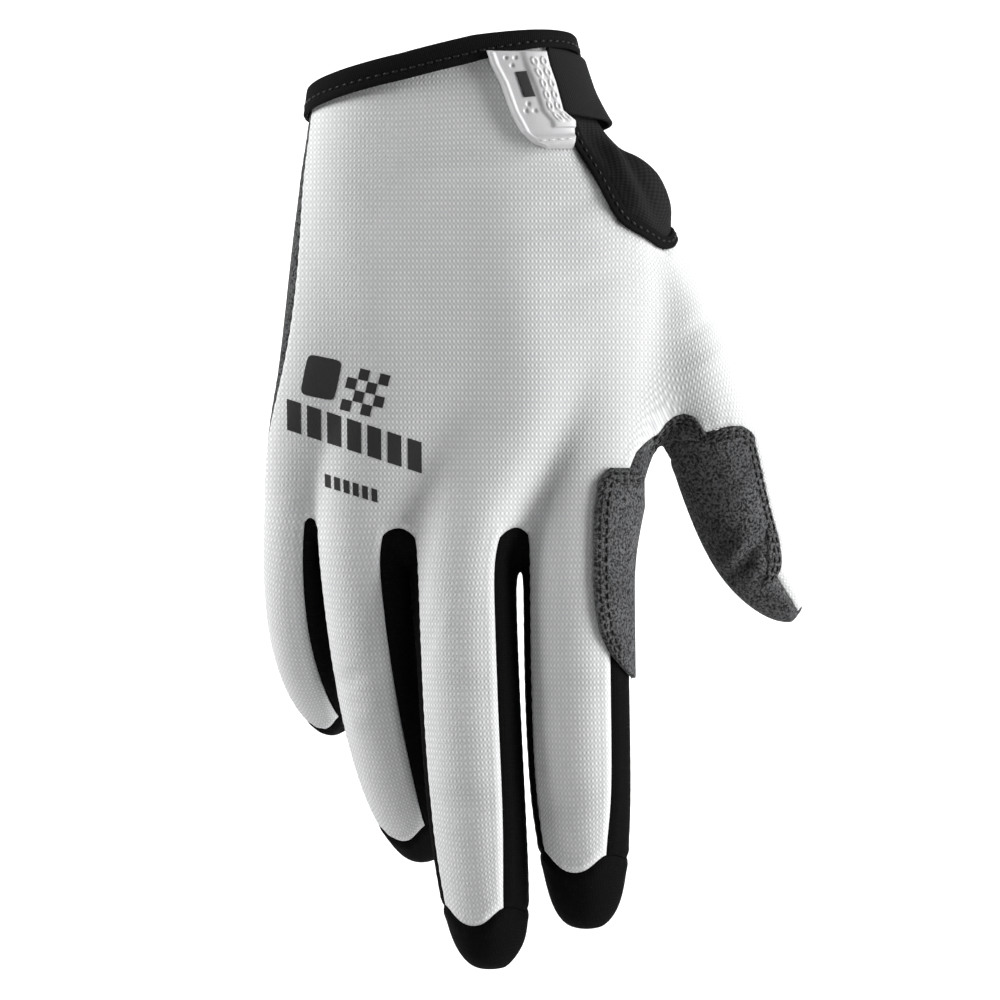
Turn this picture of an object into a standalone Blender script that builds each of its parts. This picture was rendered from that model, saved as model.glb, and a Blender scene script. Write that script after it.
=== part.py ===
"""A right-hand motocross glove, held up in the form a hand gives it: fingers down, the back towards -Y.

The glove's form is one coarse cage of quads: a wrist and palm tube of 34 columns that parts into four
finger tubes and a thumb tube of 10 columns each. Each cage face carries the name of the cloth it is cut
from. The cage is refined to a smooth form, split into its cloths, and each cloth is made a shell.
Sizes in the tables are millimetres in the glove's frame: +X to the thumb, +Y to the palm, +Z to the cuff.
"""

import math

import bpy
import numpy as np
from mathutils import Vector
from mathutils.bvhtree import BVHTree

MM = 0.001

# Cloth thicknesses and the clearance between neighbouring pieces
KNIT_WALL = 1.3
SUEDE_WALL = 1.2
STRETCH_WALL = 1.0
SEAM_GAP = 0.4
INNER_DRAW = 1.8
LEAST_CORNER = 0.8

# The palm and cuff
PALM_WIDTH = 93.0
PALM_DEPTH = 37.0
CUFF_TO_CROTCH = 113.0
CUFF_TOP = 6.4
CUFF_RISE = 12.0
CUFF_LEAN = 0.22
SLIT_RISE = 15.0
WEB_RISE = 5.0
VALLEY_FADE = 3.0
FINGER_WIDTH = 27.0

# The small pieces lie this far off the cloth
LAID_GAP = 0.4
BINDING_HEIGHT = 4.7
BINDING_WALL = 1.1
SLIT_BINDING_WIDTH = 3.4
SLIT_BINDING_WALL = 0.9
STRAP_TOP = 2.1
STRAP_WIDTH = 14.6
STRAP_FALL = 6.4
STRAP_WALL = 1.3
STRAP_STAND = 2.0
STRAP_END = math.radians(132)
TAB_TO_STRAP = 0.5
TAB_TOP = 1.9
TAB_LENGTH = 21.0
TAB_WALL = 1.8
TAB_RELIEF = 0.9
PATCH_TOP = -98.0
PATCH_LENGTH = 52.0
PATCH_WALL = 1.1
PATCH_AXIS = 31.7

# The tab's edges: place down its length, left and right edge as shares of the length
TAB_COLUMNS = ("down", "left", "right")
TAB_ROWS = (
    (0.00, 0.41, 1.08),
    (0.15, 0.47, 1.12),
    (0.33, 0.58, 1.19),
    (0.62, 0.70, 1.28),
    (0.73, 0.76, 1.41),
    (0.84, 0.83, 1.42),
    (0.95, 0.97, 1.42),
    (1.00, 1.12, 1.42),
)
# Across the tab: place, and height as a share of the relief. The rim is high and the plate behind is low.
TAB_ACROSS = ((0.00, 0.9), (0.10, 1.0), (0.20, 0.1), (0.58, 0.1), (0.66, 0.7), (1.00, 0.7))

# The index patch's inner edge: place down its length, and how far it reaches back from the finger's
# middle, as a share of the finger's width
PATCH_ROWS = (
    (0.00, 0.27), (0.06, 0.17), (0.20, 0.13), (0.36, 0.12), (0.53, 0.12),
    (0.67, 0.14), (0.78, 0.18), (0.87, 0.26), (0.95, 0.38), (1.00, 0.47),
)  # fmt: skip

# Rows of the palm tube from the cuff to the finger crotch: z, left and right edge as shares of the half
# palm width, depth as a share of the palm depth, how far the ring has turned into the finger roots,
# where the slit's edge lies across the back, as a share of the right edge, and how far round from the
# middle of the back the palm seam lies, in degrees.
BODY_COLUMNS = ("down", "left", "right", "deep", "fingered", "slit", "seam")
BODY_ROWS = (
    (0.000, -0.725, 0.690, 1.10, 0.00, 0.80, -84.0),
    (0.180, -0.785, 0.840, 1.10, 0.00, 0.78, -81.0),
    (0.290, -0.825, 1.130, 1.10, 0.00, 0.62, -75.0),
    (0.380, -0.865, 1.190, 1.10, 0.04, 0.72, -68.0),
    (0.540, -0.915, 1.180, 1.08, 0.15, 0.80, -64.0),
    (0.700, -0.960, 1.150, 1.02, 0.40, 0.80, -66.0),
    (0.850, -1.000, 1.060, 0.97, 0.75, 0.80, -72.0),
)
SLIT_COLUMN = 13
SLIT_SAG = (3.5, -3.0, -8.0, -4.5)
THUMB_FIRST_ROW = 3
THUMB_LAST_ROW = 6

# Each finger: where its root lies at the web, its half width and half depth as shares of the half finger
# width, its length, and how it splays, curls and rolls from its root to its tip, in degrees. The last
# column is the share of the length that the white cloth covers.
FINGER_COLUMNS = (
    "name", "x", "y", "z", "wide", "deep", "length",
    "splay0", "splay1", "splay2", "curl0", "curl1", "curl2", "roll0", "roll1", "white",
)  # fmt: skip
FINGERS = (
    ("little", -37.4, 14.8, -121.0, 0.66, 0.68, 60.0, -3.0, 14.0, 40.0, 24.0, 46.0, 62.0, 46.0, 46.0, 0.90),
    ("ring", -20.7, 5.5, -127.0, 0.83, 0.80, 82.0, 5.0, 12.0, 26.0, 12.0, 30.0, 50.0, 34.0, 38.0, 0.86),
    ("middle", 3.8, -1.0, -130.0, 0.93, 0.88, 94.5, 1.5, 4.0, 7.0, 2.0, 8.0, 24.0, 18.0, 22.0, 0.88),
    ("index", 31.0, 0.0, -129.0, 0.96, 0.92, 85.0, 0.0, 2.5, 3.0, 2.0, 8.0, 26.0, 12.0, 16.0, 0.80),
)
THUMB = ("thumb", 60.5, 8.0, -76.0, 0.93, 0.88, 67.0, 20.0, 12.0, 52.0, 8.0, 8.0, 20.0, 0.0, 0.0, 0.92)

# Sections of a finger from the web to the tip: place along it, and width as a share of the root's.
# The place "white" is the end of the white cloth, which each finger names for itself.
FINGER_SECTIONS = (
    (0.00, 1.00), (0.30, 1.00), (0.60, 0.97), ("white", 0.87), (0.95, 0.68), (1.0, 0.30)
)  # fmt: skip
WHITE_SECTION = 3
TIP_CORNER_LIFT = 9.0
TIP_CORNER_TAPER = np.array([[0.15], [0.35]])

# The thumb's sections also slope: how far the outer edge lies beyond the inner, as a share of the width.
# The second section is the leather's edge, which waves down the thumb by shares of a drop, point by point.
THUMB_SECTIONS = (
    (0.00, 1.02, -0.90), (0.17, 0.96, 0.00), (0.44, 0.92, 0.10), (0.71, 0.80, 0.00),
    ("white", 0.50, 0.00), (1.00, 0.18, 0.00),
)  # fmt: skip
LEATHER_DROP = 7.0
LEATHER_EDGE = (0.95, 0.15, -0.60, -0.15, 1.00, 1.00, 0.60, 0.65, 0.95, 1.00)

# A ring of ten columns, as angles from the back of the finger. Refining pulls a ten-sided ring in.
RING_ANGLES = np.radians([-54, -18, 18, 54, 90, 126, 162, 198, 234, 270])
RING_SWELL = 1.065

BACK_COUNT = 16
OVAL_POWER = 0.86
RING_COUNT = 2 * BACK_COUNT + 2

COLOURS = {
    "knit": (0.80, 0.80, 0.80, 0.80),
    "suede": (0.075, 0.077, 0.080, 0.75),
    "black": (0.010, 0.010, 0.011, 0.65),
    "elastic": (0.016, 0.016, 0.017, 0.80),
    "rubber": (0.82, 0.82, 0.83, 0.40),
}


def named(columns, row):
    return dict(zip(columns, row))


def material(name):
    """A Principled material with the colour and roughness in COLOURS."""
    found = bpy.data.materials.get(name)
    if found:
        return found
    made = bpy.data.materials.new(name)
    made.use_nodes = True
    red, green, blue, rough = COLOURS[name]
    shader = made.node_tree.nodes["Principled BSDF"]
    shader.inputs["Base Color"].default_value = (red, green, blue, 1)
    shader.inputs["Roughness"].default_value = rough
    shader.inputs["Metallic"].default_value = 0
    return made


def add_solid(name, points, faces, finish):
    """A named object from points in millimetres."""
    mesh = bpy.data.meshes.new(name)
    mesh.from_pydata((np.asarray(points) * MM).tolist(), [], [list(map(int, f)) for f in faces])
    mesh.materials.append(material(finish))
    mesh.shade_smooth()
    mesh.set_sharp_from_angle(angle=math.radians(50))
    made = bpy.data.objects.new(name, mesh)
    bpy.context.scene.collection.objects.link(made)
    return made


def unit(vectors):
    return vectors / np.linalg.norm(vectors, axis=-1, keepdims=True)


def finger_frames(finger, places):
    """Centre, along, lateral and back at each place along a finger, by summing its turning direction."""
    steps = np.linspace(0, 1, 201)
    splay, curl = (
        np.radians(np.interp(steps, (0, 0.5, 1), [finger[f"{turn}{k}"] for k in range(3)]))
        for turn in ("splay", "curl")
    )
    way = np.stack([np.sin(splay) * np.cos(curl), np.sin(curl), -np.cos(splay) * np.cos(curl)], axis=1)
    travel = np.cumsum(way, axis=0) - way
    line = np.array([finger["x"], finger["y"], finger["z"]]) + travel * finger["length"] / len(steps)
    at = np.array(places)
    centre = np.stack([np.interp(at, steps, line[:, k]) for k in range(3)], axis=1)
    along = unit(np.stack([np.interp(at, steps, way[:, k]) for k in range(3)], axis=1))
    side = unit(np.cross(np.array([0.0, -1.0, 0.0]), along))
    back = np.cross(along, side)
    roll = np.radians(finger["roll0"] + (finger["roll1"] - finger["roll0"]) * at)[:, None]
    lateral = side * np.cos(roll) + back * np.sin(roll)
    return centre, along, lateral, unit(np.cross(along, lateral))


def ring_points(centre, lateral, back, half_width, half_depth):
    """Ten points round a section, from the back's left edge to the right and round the palm side."""
    across = np.sin(RING_ANGLES)[:, None] * lateral * half_width * RING_SWELL
    over = np.cos(RING_ANGLES)[:, None] * back * half_depth * RING_SWELL
    return centre + across + over


def crotch_ring(fingers):
    """The points where the palm tube parts: four to a finger on the back and the palm, and the webs."""
    back = np.zeros((BACK_COUNT, 3))
    palm = np.zeros((BACK_COUNT, 3))
    webs = np.zeros((len(fingers) + 1, 3))
    web_share = np.zeros(len(fingers) + 1)
    for i, finger in enumerate(fingers):
        centre, along, lateral, up = finger_frames(finger, [0.0])
        half = FINGER_WIDTH / 2
        ring = ring_points(centre[0], lateral[0], up[0], half * finger["wide"], half * finger["deep"])
        first = 4 * i
        back[first : first + 4] = ring[0:4] - along[0] * SLIT_RISE
        palm[first : first + 4] = ring[[8, 7, 6, 5]] - along[0] * SLIT_RISE * 0.55
        webs[i] += ring[9]
        webs[i + 1] += ring[4]
        web_share[i : i + 2] += 1
    webs /= web_share[:, None]
    webs[:, 2] += WEB_RISE
    webs[[0, -1], 2] += SLIT_RISE * 0.4
    return back, palm, webs


def body_ring(row, crotch):
    """A ring of the palm tube: an oval that turns by degrees into the shape of the finger roots."""
    edge = math.asin(row["slit"] ** (1 / OVAL_POWER))
    turns = (math.radians(row["seam"]), edge, math.pi / 2)
    angles = np.interp(np.arange(BACK_COUNT), (0, SLIT_COLUMN, BACK_COUNT), turns)
    around = np.concatenate([angles, [math.pi / 2], math.pi - angles[::-1], [-math.pi / 2]])
    oval_x = np.sign(np.sin(around)) * np.abs(np.sin(around)) ** OVAL_POWER
    oval_y = -np.sign(np.cos(around)) * np.abs(np.cos(around)) ** OVAL_POWER
    low = crotch.min(axis=0)
    high = crotch.max(axis=0)
    middle = (low + high) / 2
    half = (high - low) / 2
    rooted = (crotch - middle) / half
    mix = row["fingered"]
    flat_x = oval_x * (1 - mix) + rooted[:, 0] * mix
    valley = mix**VALLEY_FADE
    flat_y = oval_y * (1 - valley) + rooted[:, 1] * valley
    left = row["left"] * PALM_WIDTH / 2
    right = row["right"] * PALM_WIDTH / 2
    depth = row["deep"] * PALM_DEPTH / 2 * (1 - mix) + half[1] * mix
    x = (left + right) / 2 + flat_x * (right - left) / 2
    y = middle[1] * mix + flat_y * depth
    rise = (x - (left + right) / 2) / (right - left) * CUFF_RISE * (1 - row["down"])
    lean = (y + depth) * CUFF_LEAN * (1 - row["down"])
    drape = (crotch[:, 2] - crotch[:, 2].mean()) * mix * mix
    z = CUFF_TOP - row["down"] * (CUFF_TO_CROTCH + CUFF_TOP) + rise - lean + drape
    return np.stack([x, y, z], axis=1)


class Cage:
    """Points, faces and the cloth of each face."""

    def __init__(self):
        self.points = []
        self.faces = []
        self.cloths = []

    def add(self, points):
        first = len(self.points)
        self.points.extend(points)
        return list(range(first, len(self.points)))

    def face(self, corners, cloth):
        self.faces.append(corners)
        self.cloths.append(cloth)

    def band(self, upper, lower, cloth_of, flip=False):
        """Quads between two rings with as many points."""
        count = len(upper)
        for j in range(count):
            k = (j + 1) % count
            cloth = cloth_of(j)
            if cloth:
                corners = [upper[j], lower[j], lower[k], upper[k]]
                self.face(corners[::-1] if flip else corners, cloth)

    def cap(self, ring, cloth, flip=False):
        """Closes a ring of ten with three quads from back to palm and a triangle at each side."""
        for corners in ((0, 8, 7, 1), (1, 7, 6, 2), (2, 6, 5, 3), (0, 9, 8), (3, 5, 4)):
            used = [ring[c] for c in corners]
            self.face(used[::-1] if flip else used, cloth)


def body_cloth(row):
    """The cloth of each column between one row of the palm tube and the next."""

    def cloth_of(j):
        if row < THUMB_FIRST_ROW and SLIT_COLUMN <= j <= BACK_COUNT:
            return "wrist_gusset"
        if j < BACK_COUNT - 1:
            return "back_panel"
        if j <= BACK_COUNT and row < THUMB_LAST_ROW:
            return None
        return "palm_panel"

    return cloth_of


def finger_cloth(fingers, i, tipped):
    """The cloth of each column of a finger tube. The tip is wrapped in the front's black cloth."""
    name = fingers[i]["name"]
    left = f"side_strip_{name}" if i == 0 else f"fourchette_{fingers[i - 1]['name']}_{name}"
    outer = i == len(fingers) - 1
    right = f"side_strip_{name}" if outer else f"fourchette_{name}_{fingers[i + 1]['name']}"

    def cloth_of(j):
        if tipped or j in (5, 6, 7):
            return f"finger_front_{name}"
        if j < 3:
            return "back_panel"
        return right if j in (3, 4) else left

    return cloth_of


def finger_rings(finger, sections):
    """The rings of a finger. The white cloth's last ring has its two edges lifted and drawn in, so that
    the cloth ends in a rounded tongue."""
    places = [finger["white"] if place == "white" else place for place, _ in sections]
    centre, along, lateral, back = finger_frames(finger, places)
    half = FINGER_WIDTH / 2
    rings = []
    for k, (place, share) in enumerate(sections):
        half_width = half * finger["wide"] * share
        half_depth = half * finger["deep"] * share
        ring = ring_points(centre[k], lateral[k], back[k], half_width, half_depth)
        if place == "white":
            ring[[0, 3]] += (ring[[1, 2]] - ring[[0, 3]]) * TIP_CORNER_TAPER - along[k] * TIP_CORNER_LIFT
        rings.append(ring)
    return rings


def glove_cage():
    """The whole glove as one cage, open at the cuff."""
    cage = Cage()
    fingers = [named(FINGER_COLUMNS, row) for row in FINGERS]
    thumb = named(FINGER_COLUMNS, THUMB)
    back, palm, webs = crotch_ring(fingers)
    crotch = np.concatenate([back, webs[-1:], palm[::-1], webs[:1]])
    rows = []
    for values in BODY_ROWS:
        ring = body_ring(named(BODY_COLUMNS, values), crotch)
        rows.append(cage.add(ring))
    rows.append(cage.add(crotch))
    inner_webs = cage.add(webs[1:-1])
    for k, sag in enumerate(SLIT_SAG):
        corner = rows[THUMB_FIRST_ROW][SLIT_COLUMN + k]
        cage.points[corner] = cage.points[corner] + np.array([0, 0, sag])
    for row in range(len(rows) - 1):
        cage.band(rows[row], rows[row + 1], body_cloth(row))
    side_right = BACK_COUNT
    side_left = RING_COUNT - 1
    web_points = [rows[-1][side_left], *inner_webs, rows[-1][side_right]]
    for i, finger in enumerate(fingers):
        first = 4 * i
        tops = rows[-1][first : first + 4]
        palms = [rows[-1][RING_COUNT - 2 - j] for j in range(first, first + 4)]
        upper = [*tops, web_points[i + 1], *palms[::-1], web_points[i]]
        rings = finger_rings(finger, FINGER_SECTIONS)
        for k, ring in enumerate(rings):
            lower = cage.add(ring)
            cage.band(upper, lower, finger_cloth(fingers, i, k > WHITE_SECTION))
            upper = lower
        cage.cap(upper, f"finger_front_{finger['name']}")
        if i < len(fingers) - 1:
            web = web_points[i + 1]
            cloth = f"fourchette_{finger['name']}_{fingers[i + 1]['name']}"
            cage.face([tops[3], web, rows[-1][first + 4]], cloth)
            cage.face([rows[-1][RING_COUNT - 6 - first], web, palms[3]], cloth)
    add_thumb(cage, thumb, rows)
    used, index = np.unique(np.concatenate(cage.faces), return_inverse=True)
    ends = np.cumsum([len(face) for face in cage.faces])[:-1]
    return np.array(cage.points)[used], np.split(index, ends), np.array(cage.cloths)


def add_thumb(cage, thumb, rows):
    """The thumb tube, whose first ring is the hole in the side of the palm tube."""
    used = range(THUMB_FIRST_ROW, THUMB_LAST_ROW + 1)
    back_edge = BACK_COUNT - 1
    side = BACK_COUNT
    palm_edge = BACK_COUNT + 1
    front = [rows[r][back_edge] for r in used]
    rear = [rows[r][palm_edge] for r in used]
    upper = [*front, rows[THUMB_LAST_ROW][side], *rear[::-1], rows[THUMB_FIRST_ROW][side]]
    places = [thumb["white"] if place == "white" else place for place, _, _ in THUMB_SECTIONS]
    centre, along, lateral, back = finger_frames(thumb, places)
    half = FINGER_WIDTH / 2
    for k, (_, share, slope) in enumerate(THUMB_SECTIONS):
        half_width = half * thumb["wide"] * share
        half_depth = half * thumb["deep"] * share
        ring = ring_points(centre[k], -lateral[k], back[k], half_width, half_depth)
        onward = ((ring - centre[k]) @ lateral[k]) * slope
        if k == 1:
            onward += np.array(LEATHER_EDGE) * LEATHER_DROP
        lower = cage.add(ring + onward[:, None] * along[k])
        root = k < 2

        def cloth_of(j, root=root):
            if j in (8, 9) or (root and j < 3):
                return "back_panel"
            return "palm_panel" if root else "thumb_leather"

        cage.band(upper, lower, cloth_of, flip=True)
        upper = lower
    cage.cap(upper, "thumb_leather", flip=True)


def refined(points, faces):
    """One Catmull-Clark step: a point for each face, each edge and each old point."""
    counts = np.array([len(f) for f in faces])
    owner = np.repeat(np.arange(len(faces)), counts)
    corner = np.concatenate([np.asarray(f) for f in faces])
    starts = np.cumsum(counts) - counts
    place = np.arange(len(corner)) - starts[owner]
    after = corner[starts[owner] + (place + 1) % counts[owner]]
    centres = np.zeros((len(faces), 3))
    np.add.at(centres, owner, points[corner])
    centres /= counts[:, None]
    ends = np.sort(np.stack([corner, after], axis=1), axis=1)
    edges, edge_of = np.unique(ends, axis=0, return_inverse=True)
    edge_of = edge_of.reshape(-1)
    mids = points[edges].mean(axis=1)
    uses = np.bincount(edge_of, minlength=len(edges))
    beside = np.zeros((len(edges), 3))
    np.add.at(beside, edge_of, centres[owner])
    inner = uses == 2
    edge_points = np.where(inner[:, None], (2 * mids + beside) / 4, mids)
    number = len(points)
    valence = np.bincount(corner, minlength=number)[:, None]
    face_mean = np.zeros((number, 3))
    np.add.at(face_mean, corner, centres[owner])
    face_mean /= valence
    mid_sum = np.zeros((number, 3))
    degree = np.zeros(number)
    rim_sum = np.zeros((number, 3))
    on_rim = np.zeros(number, bool)
    for k in (0, 1):
        np.add.at(mid_sum, edges[:, k], mids)
        np.add.at(degree, edges[:, k], 1)
        np.add.at(rim_sum, edges[~inner, k], mids[~inner])
        on_rim[edges[~inner, k]] = True
    mid_mean = mid_sum / degree[:, None]
    smooth = (face_mean + 2 * mid_mean + (valence - 3) * points) / valence
    rim = points / 2 + rim_sum / 4
    old = np.where(on_rim[:, None], rim, smooth)
    moved = np.concatenate([old, edge_points, centres])
    before = edge_of[starts[owner] + (place - 1) % counts[owner]]
    first_edge = number
    first_face = number + len(edges)
    quads = np.stack([corner, first_edge + edge_of, first_face + owner, first_edge + before], axis=1)
    return moved, quads, owner


def smooth_form(points, faces, cloths):
    """The cage refined once, with its points moved to where two more steps would leave them."""
    points, quads, owner = refined(points, faces)
    finer, finer_quads, _ = refined(points, quads)
    finest, _, _ = refined(finer, finer_quads)
    return finest[: len(points)], quads, cloths[owner]


def point_normals(points, quads):
    """Unit normals at the points, weighted by the area of the faces around them."""
    a, b, c, d = (points[quads[:, k]] for k in range(4))
    across = np.cross(c - a, d - b)
    total = np.zeros_like(points)
    for k in range(4):
        np.add.at(total, quads[:, k], across)
    return unit(total)


def shell(name, points, normals, quads, wall, finish, lift=0.0):
    """A cloth of some thickness under the form's surface, drawn in from its seams by half the seam gap."""
    used, index = np.unique(quads, return_inverse=True)
    faces = index.reshape(-1, 4)
    place = points[used]
    normal = normals[used]
    starts = np.concatenate([faces[:, k] for k in range(4)])
    stops = np.concatenate([faces[:, (k + 1) % 4] for k in range(4)])
    pairs = set(zip(starts.tolist(), stops.tolist()))
    rim = np.array([(s, e) for s, e in pairs if (e, s) not in pairs])
    pull = np.zeros_like(place)
    for s, e in rim:
        edge = place[e] - place[s]
        pull[s] += unit(np.cross(normal[s], edge))
        pull[e] += unit(np.cross(normal[e], edge))
    square = (pull**2).sum(axis=1, keepdims=True)
    drawn = pull / np.maximum(square, LEAST_CORNER) * SEAM_GAP
    outer = place + drawn + normal * lift
    inner = place + drawn * INNER_DRAW + normal * (lift - wall)
    count = len(place)
    walls = [(s + count, e + count, e, s) for s, e in rim]
    bottoms = [tuple(f[::-1] + count) for f in faces]
    return add_solid(name, np.concatenate([outer, inner]), [*map(tuple, faces), *bottoms, *walls], finish)


def finish_of(cloth):
    if cloth == "back_panel":
        return "knit", KNIT_WALL
    if cloth in ("palm_panel", "thumb_leather"):
        return "suede", SUEDE_WALL
    return "black", STRETCH_WALL


def add_cloths(points, quads, cloths, normals):
    for cloth in sorted(set(cloths)):
        finish, wall = finish_of(cloth)
        shell(cloth, points, normals, quads[cloths == cloth], wall, finish)


def border(quads):
    """The points along the open border of some quads, in order."""
    starts = np.concatenate([quads[:, k] for k in range(4)])
    stops = np.concatenate([quads[:, (k + 1) % 4] for k in range(4)])
    pairs = set(zip(starts.tolist(), stops.tolist()))
    follow = {s: e for s, e in pairs if (e, s) not in pairs}
    line = [min(follow)]
    while follow[line[-1]] != line[0]:
        line.append(follow[line[-1]])
    return line


def tube(name, rings, finish, looped):
    """A solid from equal rings of points, closed end to end or with flat ends."""
    count = len(rings)
    size = len(rings[0])
    faces = []
    for r in range(count if looped else count - 1):
        here = r * size
        there = (r + 1) % count * size
        for k in range(size):
            j = (k + 1) % size
            faces.append((here + k, here + j, there + j, there + k))
    if not looped:
        faces.append(tuple(range(size))[::-1])
        faces.append(tuple(range((count - 1) * size, count * size)))
    made = add_solid(name, np.concatenate(rings), faces, finish)
    if signed_volume(made.data) < 0:
        made.data.flip_normals()


def add_cuff_binding(points, quads, normals):
    """The tape folded over the cuff: a U-shaped section swept round the open border of the form."""
    line = np.array(border(quads))[::2]
    place = points[line]
    out = unit(normals[line])
    onward = np.roll(place, -1, axis=0) - np.roll(place, 1, axis=0)
    down = unit(np.cross(out, onward))
    near = LAID_GAP + 0.15
    far = near + BINDING_WALL
    inside = -KNIT_WALL
    section = (
        (near, BINDING_HEIGHT), (far, BINDING_HEIGHT), (far, -0.5), (near + 0.2, -far),
        (inside - near - 0.2, -far), (inside - far, -0.5), (inside - far, BINDING_HEIGHT),
        (inside - near, BINDING_HEIGHT), (inside - near, -near), (near, -near),
    )  # fmt: skip
    rings = [[p + o * n + d * h for n, h in section] for p, o, d in zip(place, out, down)]
    tube("cuff_binding", rings, "black", looped=True)


def off_form(tree, point, lift):
    """The form's nearest point to a point, moved off the form by a height."""
    hit, normal, _, _ = tree.find_nearest(Vector(point))
    return np.array(hit + normal * lift)


def add_slit_binding(points, quads, cloths, normals, tree):
    """The tape along the slit, on the seam between the wrist gusset and the cloths beside it."""
    line = border(quads[cloths == "wrist_gusset"])
    limit = STRAP_TOP - STRAP_WIDTH - 1.0
    first = next(k for k in range(len(line)) if points[line[k - 1]][2] > limit > points[line[k]][2])
    line = line[first:] + line[:first]
    line = [k for k in line if points[k][2] < limit]
    place = points[line]
    for _ in range(3):
        place[1:-1] = (place[:-2] + 2 * place[1:-1] + place[2:]) / 4
    out = normals[line]
    onward = unit(np.gradient(place, axis=0))
    across = unit(np.cross(out, onward)) * SLIT_BINDING_WIDTH / 2
    low = LAID_GAP + 0.15
    high = low + SLIT_BINDING_WALL
    corners = ((-1, low), (0, low), (1, low), (0.9, high), (0, high), (-0.9, high))
    rings = [[off_form(tree, p + a * w, lift) for w, lift in corners] for p, a in zip(place, across)]
    tube("slit_binding", rings, "black", looped=False)


def around(tree, axis, height, turn, lift):
    """A point off the form, found from an upright axis at a height and a turn from the back."""
    way = Vector((math.sin(turn), -math.cos(turn), 0))
    hit, normal, _, _ = tree.ray_cast(Vector((axis, 0, height)), way)
    return np.array(hit + (way + normal).normalized() * lift)


def slab(name, lower, upper, finish):
    """A closed slab between two equal grids of points."""
    rows, columns = lower.shape[:2]
    grid = np.arange(rows * columns).reshape(rows, columns)
    count = rows * columns
    corners = np.stack([grid[:-1, :-1], grid[:-1, 1:], grid[1:, 1:], grid[1:, :-1]], axis=-1).reshape(-1, 4)
    edge = [*grid[0, :-1], *grid[:-1, -1], *grid[-1, :0:-1], *grid[:0:-1, 0]]
    walls = [(a, a + count, b + count, b) for a, b in zip(edge, edge[1:] + edge[:1])]
    points = np.concatenate([upper.reshape(-1, 3), lower.reshape(-1, 3)])
    made = add_solid(name, points, [*corners, *(corners[:, ::-1] + count), *walls], finish)
    if signed_volume(made.data) < 0:
        made.data.flip_normals()


def add_wrist_strap(tree):
    """The elastic band from the tab's edge round the thumb side to the palm. It stands off the wrist between."""
    downs = np.linspace(0, 1, 4)
    grid = np.zeros((2, len(downs), 11, 3))
    tab_downs, _, tab_edges = zip(*TAB_ROWS)
    for r, down in enumerate(downs):
        level = STRAP_TOP - STRAP_WIDTH * down
        edge = np.interp((TAB_TOP - level) / TAB_LENGTH, tab_downs, tab_edges) * TAB_LENGTH
        hit = tree.ray_cast(Vector((edge + TAB_TO_STRAP, -PALM_WIDTH, level)), Vector((0, 1, 0)))[0]
        turns = np.linspace(math.atan2(hit.x, -hit.y), STRAP_END, 11)
        for c, turn in enumerate(turns):
            stand = math.sin(math.pi * c / 10) ** 0.7 * STRAP_STAND * (0.4 + 0.6 * down)
            for k, lift in enumerate((LAID_GAP, LAID_GAP + STRAP_WALL)):
                height = level - STRAP_FALL * c / 10
                grid[k, r, c] = around(tree, 0, height, turn, lift + stand)
    slab("wrist_strap", grid[0], grid[1], "elastic")


def add_closure_tab(tree):
    """The moulded tab on the back, laid on the cloth by looking at it from in front."""
    grid = np.zeros((2, len(TAB_ROWS), len(TAB_ACROSS), 3))
    for r, values in enumerate(TAB_ROWS):
        row = named(TAB_COLUMNS, values)
        edge = 1.0 if r >= len(TAB_ROWS) - 2 else 0.0
        for c, (across, relief) in enumerate(TAB_ACROSS):
            x = (row["left"] + (row["right"] - row["left"]) * across) * TAB_LENGTH
            z = TAB_TOP - row["down"] * TAB_LENGTH
            hit, normal, _, _ = tree.ray_cast(Vector((x, -PALM_WIDTH, z)), Vector((0, 1, 0)))
            rise = TAB_WALL + max(edge, relief) * TAB_RELIEF
            grid[0, r, c] = hit + normal * LAID_GAP
            grid[1, r, c] = hit + normal * (LAID_GAP + rise)
    slab("closure_tab", grid[0], grid[1], "rubber")


def add_index_patch(tree):
    """The suede patch round the side of the index knuckle."""
    grid = np.zeros((2, len(PATCH_ROWS), 9, 3))
    for r, (down, reach) in enumerate(PATCH_ROWS):
        first = math.atan2(reach * FINGER_WIDTH, 12.0)
        for c, turn in enumerate(np.linspace(first, math.radians(104), 9)):
            for k, lift in enumerate((LAID_GAP + 0.15, LAID_GAP + 0.15 + PATCH_WALL)):
                height = PATCH_TOP - PATCH_LENGTH * down
                grid[k, r, c] = around(tree, PATCH_AXIS, height, turn, lift)
    slab("index_patch", grid[0], grid[1], "suede")


def signed_volume(mesh):
    mesh.calc_loop_triangles()
    corners = np.array([[mesh.vertices[v].co for v in t.vertices] for t in mesh.loop_triangles])
    return float(np.einsum("ij,ij->i", corners[:, 0], np.cross(corners[:, 1], corners[:, 2])).sum())


def main():
    for old in list(bpy.data.objects):
        bpy.data.objects.remove(old)
    cage_points, cage_faces, cage_cloths = glove_cage()
    points, quads, cloths = smooth_form(cage_points, cage_faces, cage_cloths)
    normals = point_normals(points, quads)
    add_cloths(points, quads, cloths, normals)
    add_cuff_binding(points, quads, normals)
    tree = BVHTree.FromPolygons(points.tolist(), quads.tolist())
    add_slit_binding(points, quads, cloths, normals, tree)
    add_wrist_strap(tree)
    add_closure_tab(tree)
    add_index_patch(tree)


main()
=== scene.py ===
"""Dresses the motocross glove: fine cloths, seams, stitches, tapes, prints, camera and light."""

import math

import bpy
import numpy as np
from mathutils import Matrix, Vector
from mathutils.bvhtree import BVHTree


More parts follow.
